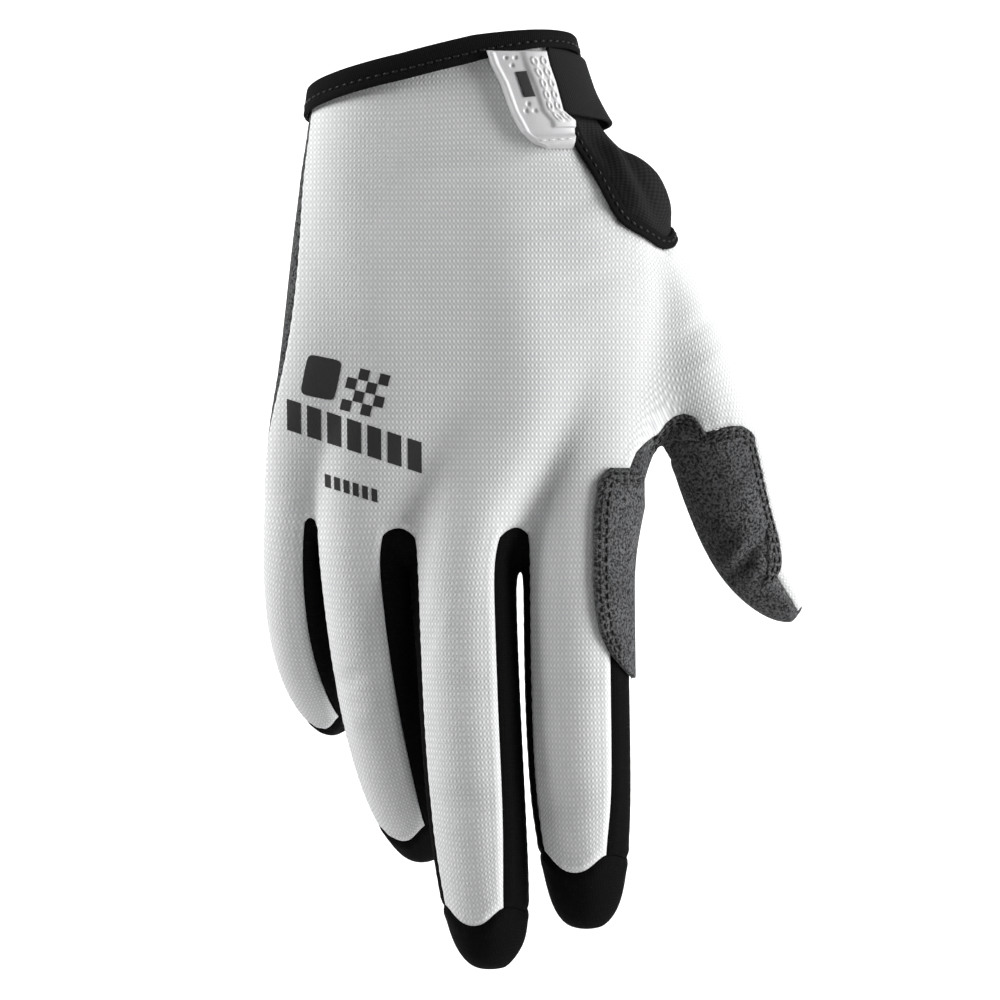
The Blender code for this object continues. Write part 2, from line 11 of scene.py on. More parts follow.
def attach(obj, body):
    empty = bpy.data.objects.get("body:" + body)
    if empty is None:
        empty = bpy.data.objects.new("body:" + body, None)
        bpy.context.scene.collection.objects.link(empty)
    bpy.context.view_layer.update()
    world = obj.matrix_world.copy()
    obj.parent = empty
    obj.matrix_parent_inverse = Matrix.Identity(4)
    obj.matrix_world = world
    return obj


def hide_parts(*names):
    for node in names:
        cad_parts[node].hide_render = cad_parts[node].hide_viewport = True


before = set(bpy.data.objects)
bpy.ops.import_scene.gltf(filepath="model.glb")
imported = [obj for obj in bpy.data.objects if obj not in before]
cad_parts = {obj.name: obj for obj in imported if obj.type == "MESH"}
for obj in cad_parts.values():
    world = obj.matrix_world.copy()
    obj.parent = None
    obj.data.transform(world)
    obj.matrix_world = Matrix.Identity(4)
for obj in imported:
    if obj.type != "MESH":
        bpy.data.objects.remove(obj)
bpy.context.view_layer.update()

# The photograph's scale and framing: millimetres to a pixel, and the pixel of the wrist opening's centre
PIXEL = 0.2463
PICTURE = 1000
WRIST_PIXEL = (450, 70)
CAMERA_AWAY = 2200.0
SENSOR = 36

# How often the cage is refined
REFINEMENTS = 4

# Near a seam, in millimetres: the gap left open, how far the cloth rolls down there, and the ridge and the
# puckers beside it
SEAM_OPEN = 0.16
SEAM_ROLL = 0.55
STRETCH_ROLL = 0.28
SEAM_ROLL_WIDTH = 0.75
SEAM_RIDGE = 0.18
RIDGE_FROM_SEAM = 2.0
RIDGE_WIDTH = 1.1
PUCKER = 0.10
PUCKER_LENGTH = 3.4
PUCKER_REACH = 2.6

# The knit's columns, rows and depth, in millimetres
KNIT_PITCH_ACROSS = 1.0
KNIT_PITCH_DOWN = 1.4
KNIT_RELIEF = 0.13

# Stitches: from one to the next, their share of that, half their thickness, how flat they are, and how far
# to either side their direction is taken, in millimetres
STITCH_PITCH = 2.2
STITCH_SHARE = 0.76
STITCH_THICK = 0.30
STITCH_FLAT = 0.8
STITCH_AIM = 0.3

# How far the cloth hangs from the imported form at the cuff, by x: x, shift in x and shift in z; the height
# where that begins and over how far it grows; and at the slit's end: middle, shift and reach
CUFF_HANG = ((-36.0, 0.0, -1.7), (-12.0, 0.0, -1.6), (6.0, 0.0, -0.5), (20.0, 0.0, -0.9), (30.0, -1.6, -1.3),
             (36.0, -3.0, -1.8))
HANG_FROM = -28.0
HANG_OVER = 14.0
SLIT_END = (57.0, -43.0, -2.2, 1.9, 7.0)

# Folds of a cloth: middle, turn in degrees, length, width and height, in millimetres. They fade near a seam
# and end where the cloth has gone this far round to the palm.
FOLD_FADE = 4.0
FOLD_LAST_Y = 12
FOLDS = {
    "back_panel": (
        (17.0, -57.0, -84.0, 36.0, 9.0, 1.3),
        (-21.0, -52.0, -80.0, 30.0, 8.0, 0.8),
        (34.0, -33.0, 12.0, 12.0, 2.2, -0.5),
        (30.0, -39.0, 8.0, 13.0, 2.4, 0.4),
        (36.0, -52.0, 18.0, 12.0, 2.6, -0.4),
        (63.0, -62.0, 35.0, 6.0, 2.0, -0.5),
        (66.0, -70.0, 30.0, 6.0, 2.0, 0.4),
        (6.0, -24.0, 10.0, 12.0, 3.0, -0.4),
        (28.0, -12.0, 40.0, 8.0, 2.5, 0.3),
        (-4.6, -139.5, 62.0, 7.0, 1.8, -0.55),
        (-2.2, -136.0, 62.0, 6.0, 1.8, 0.35),
        (2.5, -180.5, 0.0, 9.0, 3.6, -0.55),
        (27.0, -181.0, 5.0, 9.0, 3.6, -0.55),
        (30.0, -152.0, 8.0, 10.0, 3.0, -0.4),
        (4.0, -152.0, 0.0, 9.0, 3.0, -0.35),
        (-24.0, -150.0, 25.0, 8.0, 2.2, -0.5),
        (-22.0, -160.0, 25.0, 8.0, 2.4, 0.4),
    ),
    "fourchette_ring_middle": ((-9.0, -129.0, -84.0, 13.0, 5.0, 0.8),),
    "wrist_gusset": (
        (47.0, -31.0, -60.0, 13.0, 8.0, 3.0),
        (42.0, -27.0, -60.0, 11.0, 2.0, 1.3),
        (45.2, -28.2, -64.0, 9.0, 1.4, -1.9),
        (39.0, -21.0, -50.0, 6.0, 1.2, 0.9),
        (45.0, -35.0, -35.0, 5.0, 1.4, 0.8),
    ),
    "thumb_leather": (
        (73.4, -120.6, 48.0, 5.5, 1.4, -2.4),
        (70.8, -118.2, 48.0, 5.0, 1.8, 1.3),
        (76.0, -123.6, 48.0, 4.5, 1.6, 0.8),
        (66.0, -102.0, -65.0, 14.0, 4.0, -0.5),
    ),
}

# The cuff tape's groove as a share of its height, how tall it is at both ends, where it starts to slim and
# over how far, and how round its fold is
BINDING_GROOVE = 0.62
BINDING_TALL = 5.9
BINDING_SLIM = 4.0
SLIM_FROM = 2.0
SLIM_OVER = 22.0
FOLD_ROUND = 0.24

# The index patch: how far round it goes, by x and by its turn, where its rows of stitches end, as a share of
# its length, the finger's radius below it, and how far inside the edge the rows lie
PATCH_REACH = 46.3
PATCH_END = math.radians(104)
PATCH_ROW_END = 0.93
PATCH_RADIUS = 13.0
PATCH_STITCH_INSETS = (1.4, 3.1)

# The thumb's rows of stitches: how far inside the seam they lie, the height that they end at, the x that they
# stay beyond, and how far round to the palm the cloth may have turned
THUMB_STITCH_INSETS = (1.2, 2.7)
THUMB_STITCH_END = -113.5
THUMB_STITCH_FROM = 72.0
THUMB_STITCH_TURN = 0.4

# The suede laid over the thumb: how far inside its edge its rows of stitches lie, the columns of the two
# grids that they take, its height, and how far its faded side and its underside sink into the cloth below
LOBE_STITCH_INSETS = (1.9, 3.3)
LOBE_STITCH_COLUMNS = (4, 127)
FLAP_STITCH_COLUMNS = (0, 52)
SUEDE_LIFT = 0.5
SUNK = 0.5
SUNK_FOOT = 0.7

# The suede's lobes above the thumb: x, top and foot. Its flap above the thumb's tip: z, left and right edge.
LOBES = (
    (49.0, -94.4, -95.8), (50.0, -92.2, -94.9), (51.2, -89.6, -93.8), (53.0, -87.0, -92.8),
    (55.2, -85.2, -92.2), (57.6, -84.5, -92.2), (60.1, -85.2, -92.2), (61.8, -87.2, -92.4),
    (63.3, -90.2, -92.6), (65.0, -89.2, -92.6), (67.0, -88.2, -92.6), (69.5, -87.6, -92.6),
    (71.9, -87.5, -92.6), (73.9, -88.6, -92.6), (75.2, -90.4, -92.8),
)
FLAP = (
    (-113.0, 77.6, 80.6), (-116.0, 77.8, 81.3), (-119.0, 77.8, 81.9), (-121.5, 77.6, 82.1),
    (-123.5, 77.4, 81.7), (-125.4, 77.0, 80.6), (-127.0, 76.8, 79.2), (-128.0, 76.9, 78.0),
)

# The tab and the strap as they show: height above their packed place, and height or width, in millimetres
TAB_RISE = 1.9
TAB_TALL = 24.0
STRAP_RISE = 2.6
STRAP_BROAD = 16.4

# The moulded tab: how far off the cloth its relief starts, and its stitches' half thickness, in millimetres.
# Its dimples: x and z. Its bar: left edge, top edge, width, height, lean to a millimetre down, and rise.
TAB_BASE = 0.5
TAB_STITCH_THICK = 0.2
TAB_DIMPLES = ((13.3, 1.9), (15.5, 1.9), (14.8, 0.0), (18.7, -9.4), (18.2, -11.1), (20.2, -11.1))
TAB_BAR = (15.6, -1.6, 2.6, 6.2, 0.34, 0.25)

# The prints: centre, turn in degrees, half width and half height, in millimetres
SQUARE = (-31.5, -75.9, 12.0, 4.3, 5.0)
CHECKER = (-20.7, -79.6, 14.0, 5.1, 5.5)
CHECKER_CELLS = 4
STRIPES = dict(centre=(-23.5, -90.2), turn=18.0, x=-15.5, pitch=5.2, number=7, wide=3.6, tall=7.2, lean=-1.2)
DASHES = dict(centre=(-24.2, -103.0), turn=17.0, x=-6.0, pitch=2.4, number=6, wide=1.5, tall=3.0, lean=-0.5)

# Metres to a millimetre, and the weave coordinates' scale in the UV map
MM = 0.001
WEAVE_SCALE = 0.01

# Cloth thicknesses, how much further in the inner wall is drawn, and the least square of a corner's pull
KNIT_WALL = 1.3
SUEDE_WALL = 1.2
STRETCH_WALL = 1.0
INNER_DRAW = 1.8
LEAST_CORNER = 0.8

# The palm and cuff. On the palm side, and at the outer two webs, the crotches rise by a share of what they
# rise on the back.
PALM_WIDTH = 93.0
PALM_DEPTH = 37.0
CUFF_TO_CROTCH = 113.0
CUFF_TOP = 6.4
CUFF_RISE = 12.0
CUFF_LEAN = 0.22
SLIT_RISE = 15.0
PALM_CROTCH = 0.55
SIDE_CROTCH = 0.4
WEB_RISE = 5.0
VALLEY_FADE = 3.0
FINGER_WIDTH = 27.0

# The small pieces lie this far off the cloth, and the tapes and the patch a little further. The slit's tape
# starts below the strap, and its line is softened in this many rounds.
LAID_GAP = 0.4
LAID_MORE = 0.15
BINDING_HEIGHT = 4.7
BINDING_WALL = 1.1
SLIT_BINDING_WIDTH = 3.4
SLIT_BINDING_WALL = 0.9
BELOW_STRAP = 1.0
SLIT_SOFT = 60
STRAP_TOP = 2.1
STRAP_FALL = 6.4
STRAP_WALL = 1.3
STRAP_STAND = 2.0
STRAP_END = math.radians(132)
TAB_TO_STRAP = 0.5
TAB_TOP = 1.9
TAB_LENGTH = 21.0
TAB_WALL = 1.8
TAB_RELIEF = 0.9
PATCH_TOP = -98.0
PATCH_LENGTH = 52.0
PATCH_WALL = 1.1
PATCH_AXIS = 31.7

# The tab's edges: place down its length, left and right edge as shares of the length
TAB_ROWS = (
    (0.00, 0.41, 1.08),
    (0.15, 0.47, 1.12),
    (0.33, 0.58, 1.19),
    (0.62, 0.70, 1.28),
    (0.73, 0.76, 1.41),
    (0.84, 0.83, 1.42),
    (0.95, 0.97, 1.42),
    (1.00, 1.12, 1.42),
)

# The index patch's inner edge: place down its length, and how far it reaches back from the finger's
# middle, as a share of the finger's width
PATCH_ROWS = (
    (0.00, 0.27), (0.06, 0.17), (0.20, 0.13), (0.36, 0.12), (0.53, 0.12),
    (0.67, 0.14), (0.78, 0.18), (0.87, 0.26), (0.95, 0.38), (1.00, 0.47),
)

# Rows of the palm tube: the share of the way from the cuff to the crotch, left and right edge as shares of
# the half palm width, depth as a share of the palm depth, how far the ring has turned into the finger roots,
# where the slit's edge lies across the back, as a share of the right edge, and how far round from the
# middle of the back the palm seam lies, in degrees.
BODY_COLUMNS = ("down", "left", "right", "deep", "fingered", "slit", "seam")
BODY_ROWS = (
    (0.000, -0.725, 0.690, 1.10, 0.00, 0.80, -84.0),
    (0.180, -0.785, 0.840, 1.10, 0.00, 0.78, -81.0),
    (0.290, -0.825, 1.130, 1.10, 0.00, 0.62, -75.0),
    (0.380, -0.865, 1.190, 1.10, 0.04, 0.72, -68.0),
    (0.540, -0.915, 1.180, 1.08, 0.15, 0.80, -64.0),
    (0.700, -0.960, 1.150, 1.02, 0.40, 0.80, -66.0),
    (0.850, -1.000, 1.060, 0.97, 0.75, 0.80, -72.0),
)
SLIT_COLUMN = 13
SLIT_SAG = (3.5, -3.0, -8.0, -4.5)
THUMB_FIRST_ROW = 3
THUMB_LAST_ROW = 6

# Each finger: where its root lies at the web, its half width and half depth as shares of the half finger
# width, its length, and how it splays, curls and rolls from its root to its tip, in degrees. The last
# column is the share of the length that the white cloth covers.
FINGER_COLUMNS = (
    "name", "x", "y", "z", "wide", "deep", "length",
    "splay0", "splay1", "splay2", "curl0", "curl1", "curl2", "roll0", "roll1", "white",
)
FINGERS = (
    ("little", -37.4, 14.8, -121.0, 0.66, 0.68, 60.0, -3.0, 14.0, 40.0, 24.0, 46.0, 62.0, 46.0, 46.0, 0.90),
    ("ring", -20.7, 5.5, -127.0, 0.83, 0.80, 82.0, 5.0, 12.0, 26.0, 12.0, 30.0, 50.0, 34.0, 38.0, 0.86),
    ("middle", 3.8, -1.0, -130.0, 0.93, 0.88, 94.5, 1.5, 4.0, 7.0, 2.0, 8.0, 24.0, 18.0, 22.0, 0.88),
    ("index", 31.0, 0.0, -129.0, 0.96, 0.92, 85.0, 0.0, 2.5, 3.0, 2.0, 8.0, 26.0, 12.0, 16.0, 0.80),
)
THUMB = ("thumb", 60.5, 8.0, -76.0, 0.93, 0.88, 67.0, 20.0, 12.0, 52.0, 8.0, 8.0, 20.0, 0.0, 0.0, 0.92)

# Sections of a finger from the web to the tip: place along it, and width as a share of the root's.
# The place "white" is the end of the white cloth, which each finger names for itself.
FINGER_SECTIONS = (
    (0.00, 1.00), (0.30, 1.00), (0.60, 0.97), ("white", 0.87), (0.95, 0.68), (1.0, 0.30)
)
WHITE_SECTION = 3
TIP_CORNER_LIFT = 9.0
TIP_CORNER_TAPER = np.array([[0.15], [0.35]])

# The thumb's sections also slope: how far the outer edge lies beyond the inner, as a share of the width.
# The second section is the leather's edge, which waves down the thumb by shares of a drop, point by point.
THUMB_SECTIONS = (
    (0.00, 1.02, -0.90), (0.17, 0.96, 0.00), (0.44, 0.92, 0.10), (0.71, 0.80, 0.00),
    ("white", 0.50, 0.00), (1.00, 0.18, 0.00),
)
LEATHER_DROP = 7.0
LEATHER_EDGE = (1.50, -0.10, -0.05, -0.95, 1.00, 1.00, 0.60, 0.65, 0.95, 1.00)

# A ring of ten columns, as angles from the back of the finger. Refining pulls a ten-sided ring in.
RING_ANGLES = np.radians([-54, -18, 18, 54, 90, 126, 162, 198, 234, 270])
RING_SWELL = 1.065

# The palm tube's points across the back, the power of its oval, and all of its points
BACK_COUNT = 16
OVAL_POWER = 0.86
RING_COUNT = 2 * BACK_COUNT + 2

# Rays are cast from this far in front. The angles past which an edge stays sharp are in degrees. A laid piece
# is rounded this far in from its edge.
IN_FRONT = -80.0
CLOTH_ANGLE = 60
TAPE_ANGLE = 50
PRINT_ANGLE = 40
EDGE_ROUND = 0.7

# Distances to the borders are worked out for this many points at a time
BATCH = 2000

# The strap's rounded edge and how its lift off the wrist rises
STRAP_EDGE_ROUND = 0.6
STRAP_LIFT_POWER = 0.7

# The moulded tab's relief, in shares of its width and length: middle and half width of the rim at its left
# and at its foot, where the raised part begins, how steeply, where it ends, and how high it is
TAB_RIM = (0.07, 0.055)
TAB_FOOT = (0.93, 0.05)
RAISED_FROM = 0.60
RAISED_STEEP = 60
RAISED_TO = 0.80
RAISED_HIGH = 0.72

# Its oval rings: the two columns, the first place down, the pitch, the half size, and the rows' middle and
# half height; then the radius, half width and height of a ring. Its dimples: depth and radius in millimetres.
OVAL_COLUMNS = (0.74, 0.88)
OVAL_FIRST = 0.06
OVAL_PITCH = 0.115
OVAL_HALF = 0.05
OVAL_ROWS = (0.40, 0.335)
OVAL_RING = (0.75, 0.28, 0.30)
DIMPLE_DEEP = 0.4
DIMPLE_RADIUS = 0.5

# Points down and across the grid of each laid piece, and along a side of the square, a cell and a stripe
TAB_GRID = (110, 110)
BAR_GRID = (12, 30)
STRAP_GRID = (34, 80)
PATCH_GRID = (120, 70)
LOBE_GRID = (40, 130)
FLAP_GRID = (30, 60)
SQUARE_SIDE = 30
CELL_SIDE = 5
STRIPE_SIDE = 9

# The printed marks stand this far out of the knit, and the bar this far out of the tab
PRINT_LIFT = 0.1
BAR_LIFT = 0.22

# A stitch's rings of six points: place along half its length, width, and rise as a share of its thickness
STITCH_RINGS = ((-1.0, 0.45, -0.6), (-0.55, 1.0, 0.35), (0.55, 1.0, 0.35), (1.0, 0.45, -0.6))
STITCH_SIDES = 6

# The studio, in metres and watts: the floor's near edge, where it starts to bend, the bend's radius, the
# floor's height, its top and half its width, and each light's name, place, aim, width, height and power
FLOOR_NEAR = -3.0
FLOOR_FAR = 2.8
FLOOR_BEND = 0.8
FLOOR_LOW = -0.9
FLOOR_TOP = 4.0
FLOOR_SIDE = 4.0
GLOVE_MIDDLE = (0.012, 0, -0.105)
LIGHTS = (
    ("left_box", (-1.1, -0.14, 0.55), (-0.02, 0, -0.03), 0.5, 0.7, 19.5),
    ("right_box", (1.25, -0.30, 0.15), GLOVE_MIDDLE, 0.5, 1.2, 26.5),
    ("top_box", (0.1, -0.5, 1.3), GLOVE_MIDDLE, 1.2, 0.8, 1.0),
    ("backdrop_box", (0.0, 1.5, 1.1), (0, 3.5, -0.1), 3.0, 0.5, 95.0),
)
WORLD_STRENGTH = 0.08


def named(columns, row):
    """A row of a table as a dictionary."""
    return dict(zip(columns, row))


def unit(vectors):
    """Vectors divided by their lengths."""
    return vectors / np.linalg.norm(vectors, axis=-1, keepdims=True)


def bell(offset, reach, power=2):
    """1 in the middle, falling off as the exponential of minus a power of the offset."""
    return np.exp(-((offset / reach) ** power))


def smooth_step(share):
    """0 to 1 on a cubic that is level at both ends."""
    share = np.clip(share, 0, 1)
    return share * share * (3 - 2 * share)


def sampled(at, run, line):
    """The points of a line, or its directions, at some lengths along it."""
    return np.stack([np.interp(at, run, line[:, k]) for k in range(3)], axis=1)


def finger_frames(finger, places):
    """Centre, along, lateral and back at each place along a finger, by summing its turning direction."""
    steps = np.linspace(0, 1, 201)
    splay, curl = (
        np.radians(np.interp(steps, (0, 0.5, 1), [finger[f"{turn}{k}"] for k in range(3)]))
        for turn in ("splay", "curl")
    )
    way = np.stack([np.sin(splay) * np.cos(curl), np.sin(curl), -np.cos(splay) * np.cos(curl)], axis=1)
    travel = np.cumsum(way, axis=0) - way
    line = np.array([finger["x"], finger["y"], finger["z"]]) + travel * finger["length"] / len(steps)
    at = np.array(places)
    centre = sampled(at, steps, line)
    along = unit(sampled(at, steps, way))
    side = unit(np.cross(np.array([0.0, -1.0, 0.0]), along))
    back = np.cross(along, side)
    roll = np.radians(finger["roll0"] + (finger["roll1"] - finger["roll0"]) * at)[:, None]
    lateral = side * np.cos(roll) + back * np.sin(roll)
    return centre, along, lateral, unit(np.cross(along, lateral))


def ring_points(centre, lateral, back, half_width, half_depth):
    """Ten points round a section, from the back's left edge to the right and round the palm side."""
    across = np.sin(RING_ANGLES)[:, None] * lateral * half_width * RING_SWELL
    over = np.cos(RING_ANGLES)[:, None] * back * half_depth * RING_SWELL
    return centre + across + over


def crotch_ring(fingers):
    """The points where the palm tube parts: four to a finger on the back and the palm, and the webs."""
    back = np.zeros((BACK_COUNT, 3))
    palm = np.zeros((BACK_COUNT, 3))
    webs = np.zeros((len(fingers) + 1, 3))
    web_share = np.zeros(len(fingers) + 1)
    for i, finger in enumerate(fingers):
        centre, along, lateral, up = finger_frames(finger, [0.0])
        half = FINGER_WIDTH / 2
        ring = ring_points(centre[0], lateral[0], up[0], half * finger["wide"], half * finger["deep"])
        first = 4 * i
        back[first : first + 4] = ring[0:4] - along[0] * SLIT_RISE
        palm[first : first + 4] = ring[[8, 7, 6, 5]] - along[0] * SLIT_RISE * PALM_CROTCH
        webs[i] += ring[9]
        webs[i + 1] += ring[4]
        web_share[i : i + 2] += 1
    webs /= web_share[:, None]
    webs[:, 2] += WEB_RISE
    webs[[0, -1], 2] += SLIT_RISE * SIDE_CROTCH
    return back, palm, webs


def body_ring(row, crotch):
    """A ring of the palm tube: an oval, as powers of the sine and cosine, that turns by degrees into the
    shape of the finger roots."""
    edge = math.asin(row["slit"] ** (1 / OVAL_POWER))
    turns = (math.radians(row["seam"]), edge, math.pi / 2)
    angles = np.interp(np.arange(BACK_COUNT), (0, SLIT_COLUMN, BACK_COUNT), turns)
    around = np.concatenate([angles, [math.pi / 2], math.pi - angles[::-1], [-math.pi / 2]])
    oval_x = np.sign(np.sin(around)) * np.abs(np.sin(around)) ** OVAL_POWER
    oval_y = -np.sign(np.cos(around)) * np.abs(np.cos(around)) ** OVAL_POWER
    low = crotch.min(axis=0)
    high = crotch.max(axis=0)
    middle = (low + high) / 2
    half = (high - low) / 2
    rooted = (crotch - middle) / half
    mix = row["fingered"]
    flat_x = oval_x * (1 - mix) + rooted[:, 0] * mix
    valley = mix**VALLEY_FADE
    flat_y = oval_y * (1 - valley) + rooted[:, 1] * valley
    left = row["left"] * PALM_WIDTH / 2
    right = row["right"] * PALM_WIDTH / 2
    depth = row["deep"] * PALM_DEPTH / 2 * (1 - mix) + half[1] * mix
    x = (left + right) / 2 + flat_x * (right - left) / 2
    y = middle[1] * mix + flat_y * depth
    rise = (x - (left + right) / 2) / (right - left) * CUFF_RISE * (1 - row["down"])
    lean = (y + depth) * CUFF_LEAN * (1 - row["down"])
    drape = (crotch[:, 2] - crotch[:, 2].mean()) * mix * mix
    z = CUFF_TOP - row["down"] * (CUFF_TO_CROTCH + CUFF_TOP) + rise - lean + drape
    return np.stack([x, y, z], axis=1)


class Cage:
    """Points, faces and the cloth of each face."""

    def __init__(self):
        self.points = []
        self.weave = []
        self.faces = []
        self.cloths = []

    def add(self, points, weave):
        """Adds points with their weave coordinates: how far across and down the cloth they lie."""
        first = len(self.points)
        self.points.extend(points)
        self.weave.extend(weave)
        return list(range(first, len(self.points)))

    def face(self, corners, cloth):
        self.faces.append(corners)
        self.cloths.append(cloth)

    def band(self, upper, lower, cloth_of, flip=False):
        """Quads between two rings with as many points."""
        count = len(upper)
        for j in range(count):
            k = (j + 1) % count
            cloth = cloth_of(j)
            if cloth:
                corners = [upper[j], lower[j], lower[k], upper[k]]
                self.face(corners[::-1] if flip else corners, cloth)

    def cap(self, ring, cloth, flip=False):
        """Closes a ring of ten with three quads from back to palm and a triangle at each side."""
        for corners in ((0, 8, 7, 1), (1, 7, 6, 2), (2, 6, 5, 3), (0, 9, 8), (3, 5, 4)):
            used = [ring[c] for c in corners]
            self.face(used[::-1] if flip else used, cloth)


def body_cloth(row):
    """The cloth of each column between one row of the palm tube and the next."""

    def cloth_of(j):
        if row < THUMB_FIRST_ROW and SLIT_COLUMN <= j <= BACK_COUNT:
            return "wrist_gusset"
        if j < BACK_COUNT - 1:
            return "back_panel"
        if j <= BACK_COUNT and row < THUMB_LAST_ROW:
            return None
        return "palm_panel"

    return cloth_of


def finger_cloth(fingers, i, tipped):
    """The cloth of each column of a finger tube. The tip is wrapped in the front's black cloth."""
    name = fingers[i]["name"]
    left = f"side_strip_{name}" if i == 0 else f"fourchette_{fingers[i - 1]['name']}_{name}"
    outer = i == len(fingers) - 1
    right = f"side_strip_{name}" if outer else f"fourchette_{name}_{fingers[i + 1]['name']}"

    def cloth_of(j):
        if tipped or j in (5, 6, 7):
            return f"finger_front_{name}"
        if j < 3:
            return "back_panel"
        return right if j in (3, 4) else left

    return cloth_of


def finger_rings(finger, sections):
    """The rings of a finger. The white cloth's last ring has its two edges lifted and drawn in, so that
    the cloth ends in a rounded tongue."""
    places = [finger["white"] if place == "white" else place for place, _ in sections]
    centre, along, lateral, back = finger_frames(finger, places)
    half = FINGER_WIDTH / 2
    rings = []
    for k, (place, share) in enumerate(sections):
        half_width = half * finger["wide"] * share
        half_depth = half * finger["deep"] * share
        ring = ring_points(centre[k], lateral[k], back[k], half_width, half_depth)
        if place == "white":
            ring[[0, 3]] += (ring[[1, 2]] - ring[[0, 3]]) * TIP_CORNER_TAPER - along[k] * TIP_CORNER_LIFT
        rings.append(ring)
    return rings


def ring_weave(finger, section):
    """Weave coordinates of a ring: its arc across from the finger's middle, and its place down the finger."""
    place = finger["white"] if section[0] == "white" else section[0]
    half = FINGER_WIDTH / 2 * finger["wide"] * section[1]
    across = finger["x"] + np.where(RING_ANGLES > math.pi, RING_ANGLES - 2 * math.pi, RING_ANGLES) * half
    return np.stack([across, np.full(10, finger["z"] - place * finger["length"])], axis=1)


def glove_cage():
    """The whole glove as one cage, open at the cuff, with the weave coordinates of its points."""
    cage = Cage()
    fingers = [named(FINGER_COLUMNS, row) for row in FINGERS]
    thumb = named(FINGER_COLUMNS, THUMB)
    back, palm, webs = crotch_ring(fingers)
    crotch = np.concatenate([back, webs[-1:], palm[::-1], webs[:1]])
    rows = []
    for values in BODY_ROWS:
        ring = body_ring(named(BODY_COLUMNS, values), crotch)
        rows.append(cage.add(ring, ring[:, [0, 2]]))
    rows.append(cage.add(crotch, crotch[:, [0, 2]]))
    inner_webs = cage.add(webs[1:-1], webs[1:-1][:, [0, 2]])
    for k, sag in enumerate(SLIT_SAG):
        corner = rows[THUMB_FIRST_ROW][SLIT_COLUMN + k]
        cage.points[corner] = cage.points[corner] + np.array([0, 0, sag])
    for row in range(len(rows) - 1):
        cage.band(rows[row], rows[row + 1], body_cloth(row))
    side_right = BACK_COUNT
    side_left = RING_COUNT - 1
    web_points = [rows[-1][side_left], *inner_webs, rows[-1][side_right]]
    for i, finger in enumerate(fingers):
        first = 4 * i
        tops = rows[-1][first : first + 4]
        palms = [rows[-1][RING_COUNT - 2 - j] for j in range(first, first + 4)]
        upper = [*tops, web_points[i + 1], *palms[::-1], web_points[i]]
        rings = finger_rings(finger, FINGER_SECTIONS)
        for k, ring in enumerate(rings):
            lower = cage.add(ring, ring_weave(finger, FINGER_SECTIONS[k]))
            cage.band(upper, lower, finger_cloth(fingers, i, k > WHITE_SECTION))
            upper = lower
        cage.cap(upper, f"finger_front_{finger['name']}")
        if i < len(fingers) - 1:
            web = web_points[i + 1]
            cloth = f"fourchette_{finger['name']}_{fingers[i + 1]['name']}"
            cage.face([tops[3], web, rows[-1][first + 4]], cloth)
            cage.face([rows[-1][RING_COUNT - 6 - first], web, palms[3]], cloth)
    add_thumb(cage, thumb, rows)
    used, index = np.unique(np.concatenate(cage.faces), return_inverse=True)
    ends = np.cumsum([len(face) for face in cage.faces])[:-1]
    cloths = np.array(cage.cloths)
    return np.array(cage.points)[used], np.split(index, ends), cloths, np.array(cage.weave)[used]


def add_thumb(cage, thumb, rows):
    """The thumb tube, whose first ring is the hole in the side of the palm tube."""
    used = range(THUMB_FIRST_ROW, THUMB_LAST_ROW + 1)
    back_edge = BACK_COUNT - 1
    side = BACK_COUNT
    palm_edge = BACK_COUNT + 1
    front = [rows[r][back_edge] for r in used]
    rear = [rows[r][palm_edge] for r in used]
    upper = [*front, rows[THUMB_LAST_ROW][side], *rear[::-1], rows[THUMB_FIRST_ROW][side]]
    places = [thumb["white"] if place == "white" else place for place, _, _ in THUMB_SECTIONS]
    centre, along, lateral, back = finger_frames(thumb, places)
    half = FINGER_WIDTH / 2
    for k, (_, share, slope) in enumerate(THUMB_SECTIONS):
        half_width = half * thumb["wide"] * share
        half_depth = half * thumb["deep"] * share
        ring = ring_points(centre[k], -lateral[k], back[k], half_width, half_depth)
        onward = ((ring - centre[k]) @ lateral[k]) * slope
        if k == 1:
            onward += np.array(LEATHER_EDGE) * LEATHER_DROP
        weave = ring_weave(thumb, THUMB_SECTIONS[k])
        lower = cage.add(ring + onward[:, None] * along[k], weave * (-1, 1) + (2 * thumb["x"], 0))
        root = k < 2

        def cloth_of(j, root=root, tipped=k > 3):
            if j in (8, 9) or (root and j < 3) or (tipped and j == 0):
                return "back_panel"
            return "palm_panel" if root else "thumb_leather"

        cage.band(upper, lower, cloth_of, flip=True)
        upper = lower
    cage.cap(upper, "thumb_leather", flip=True)


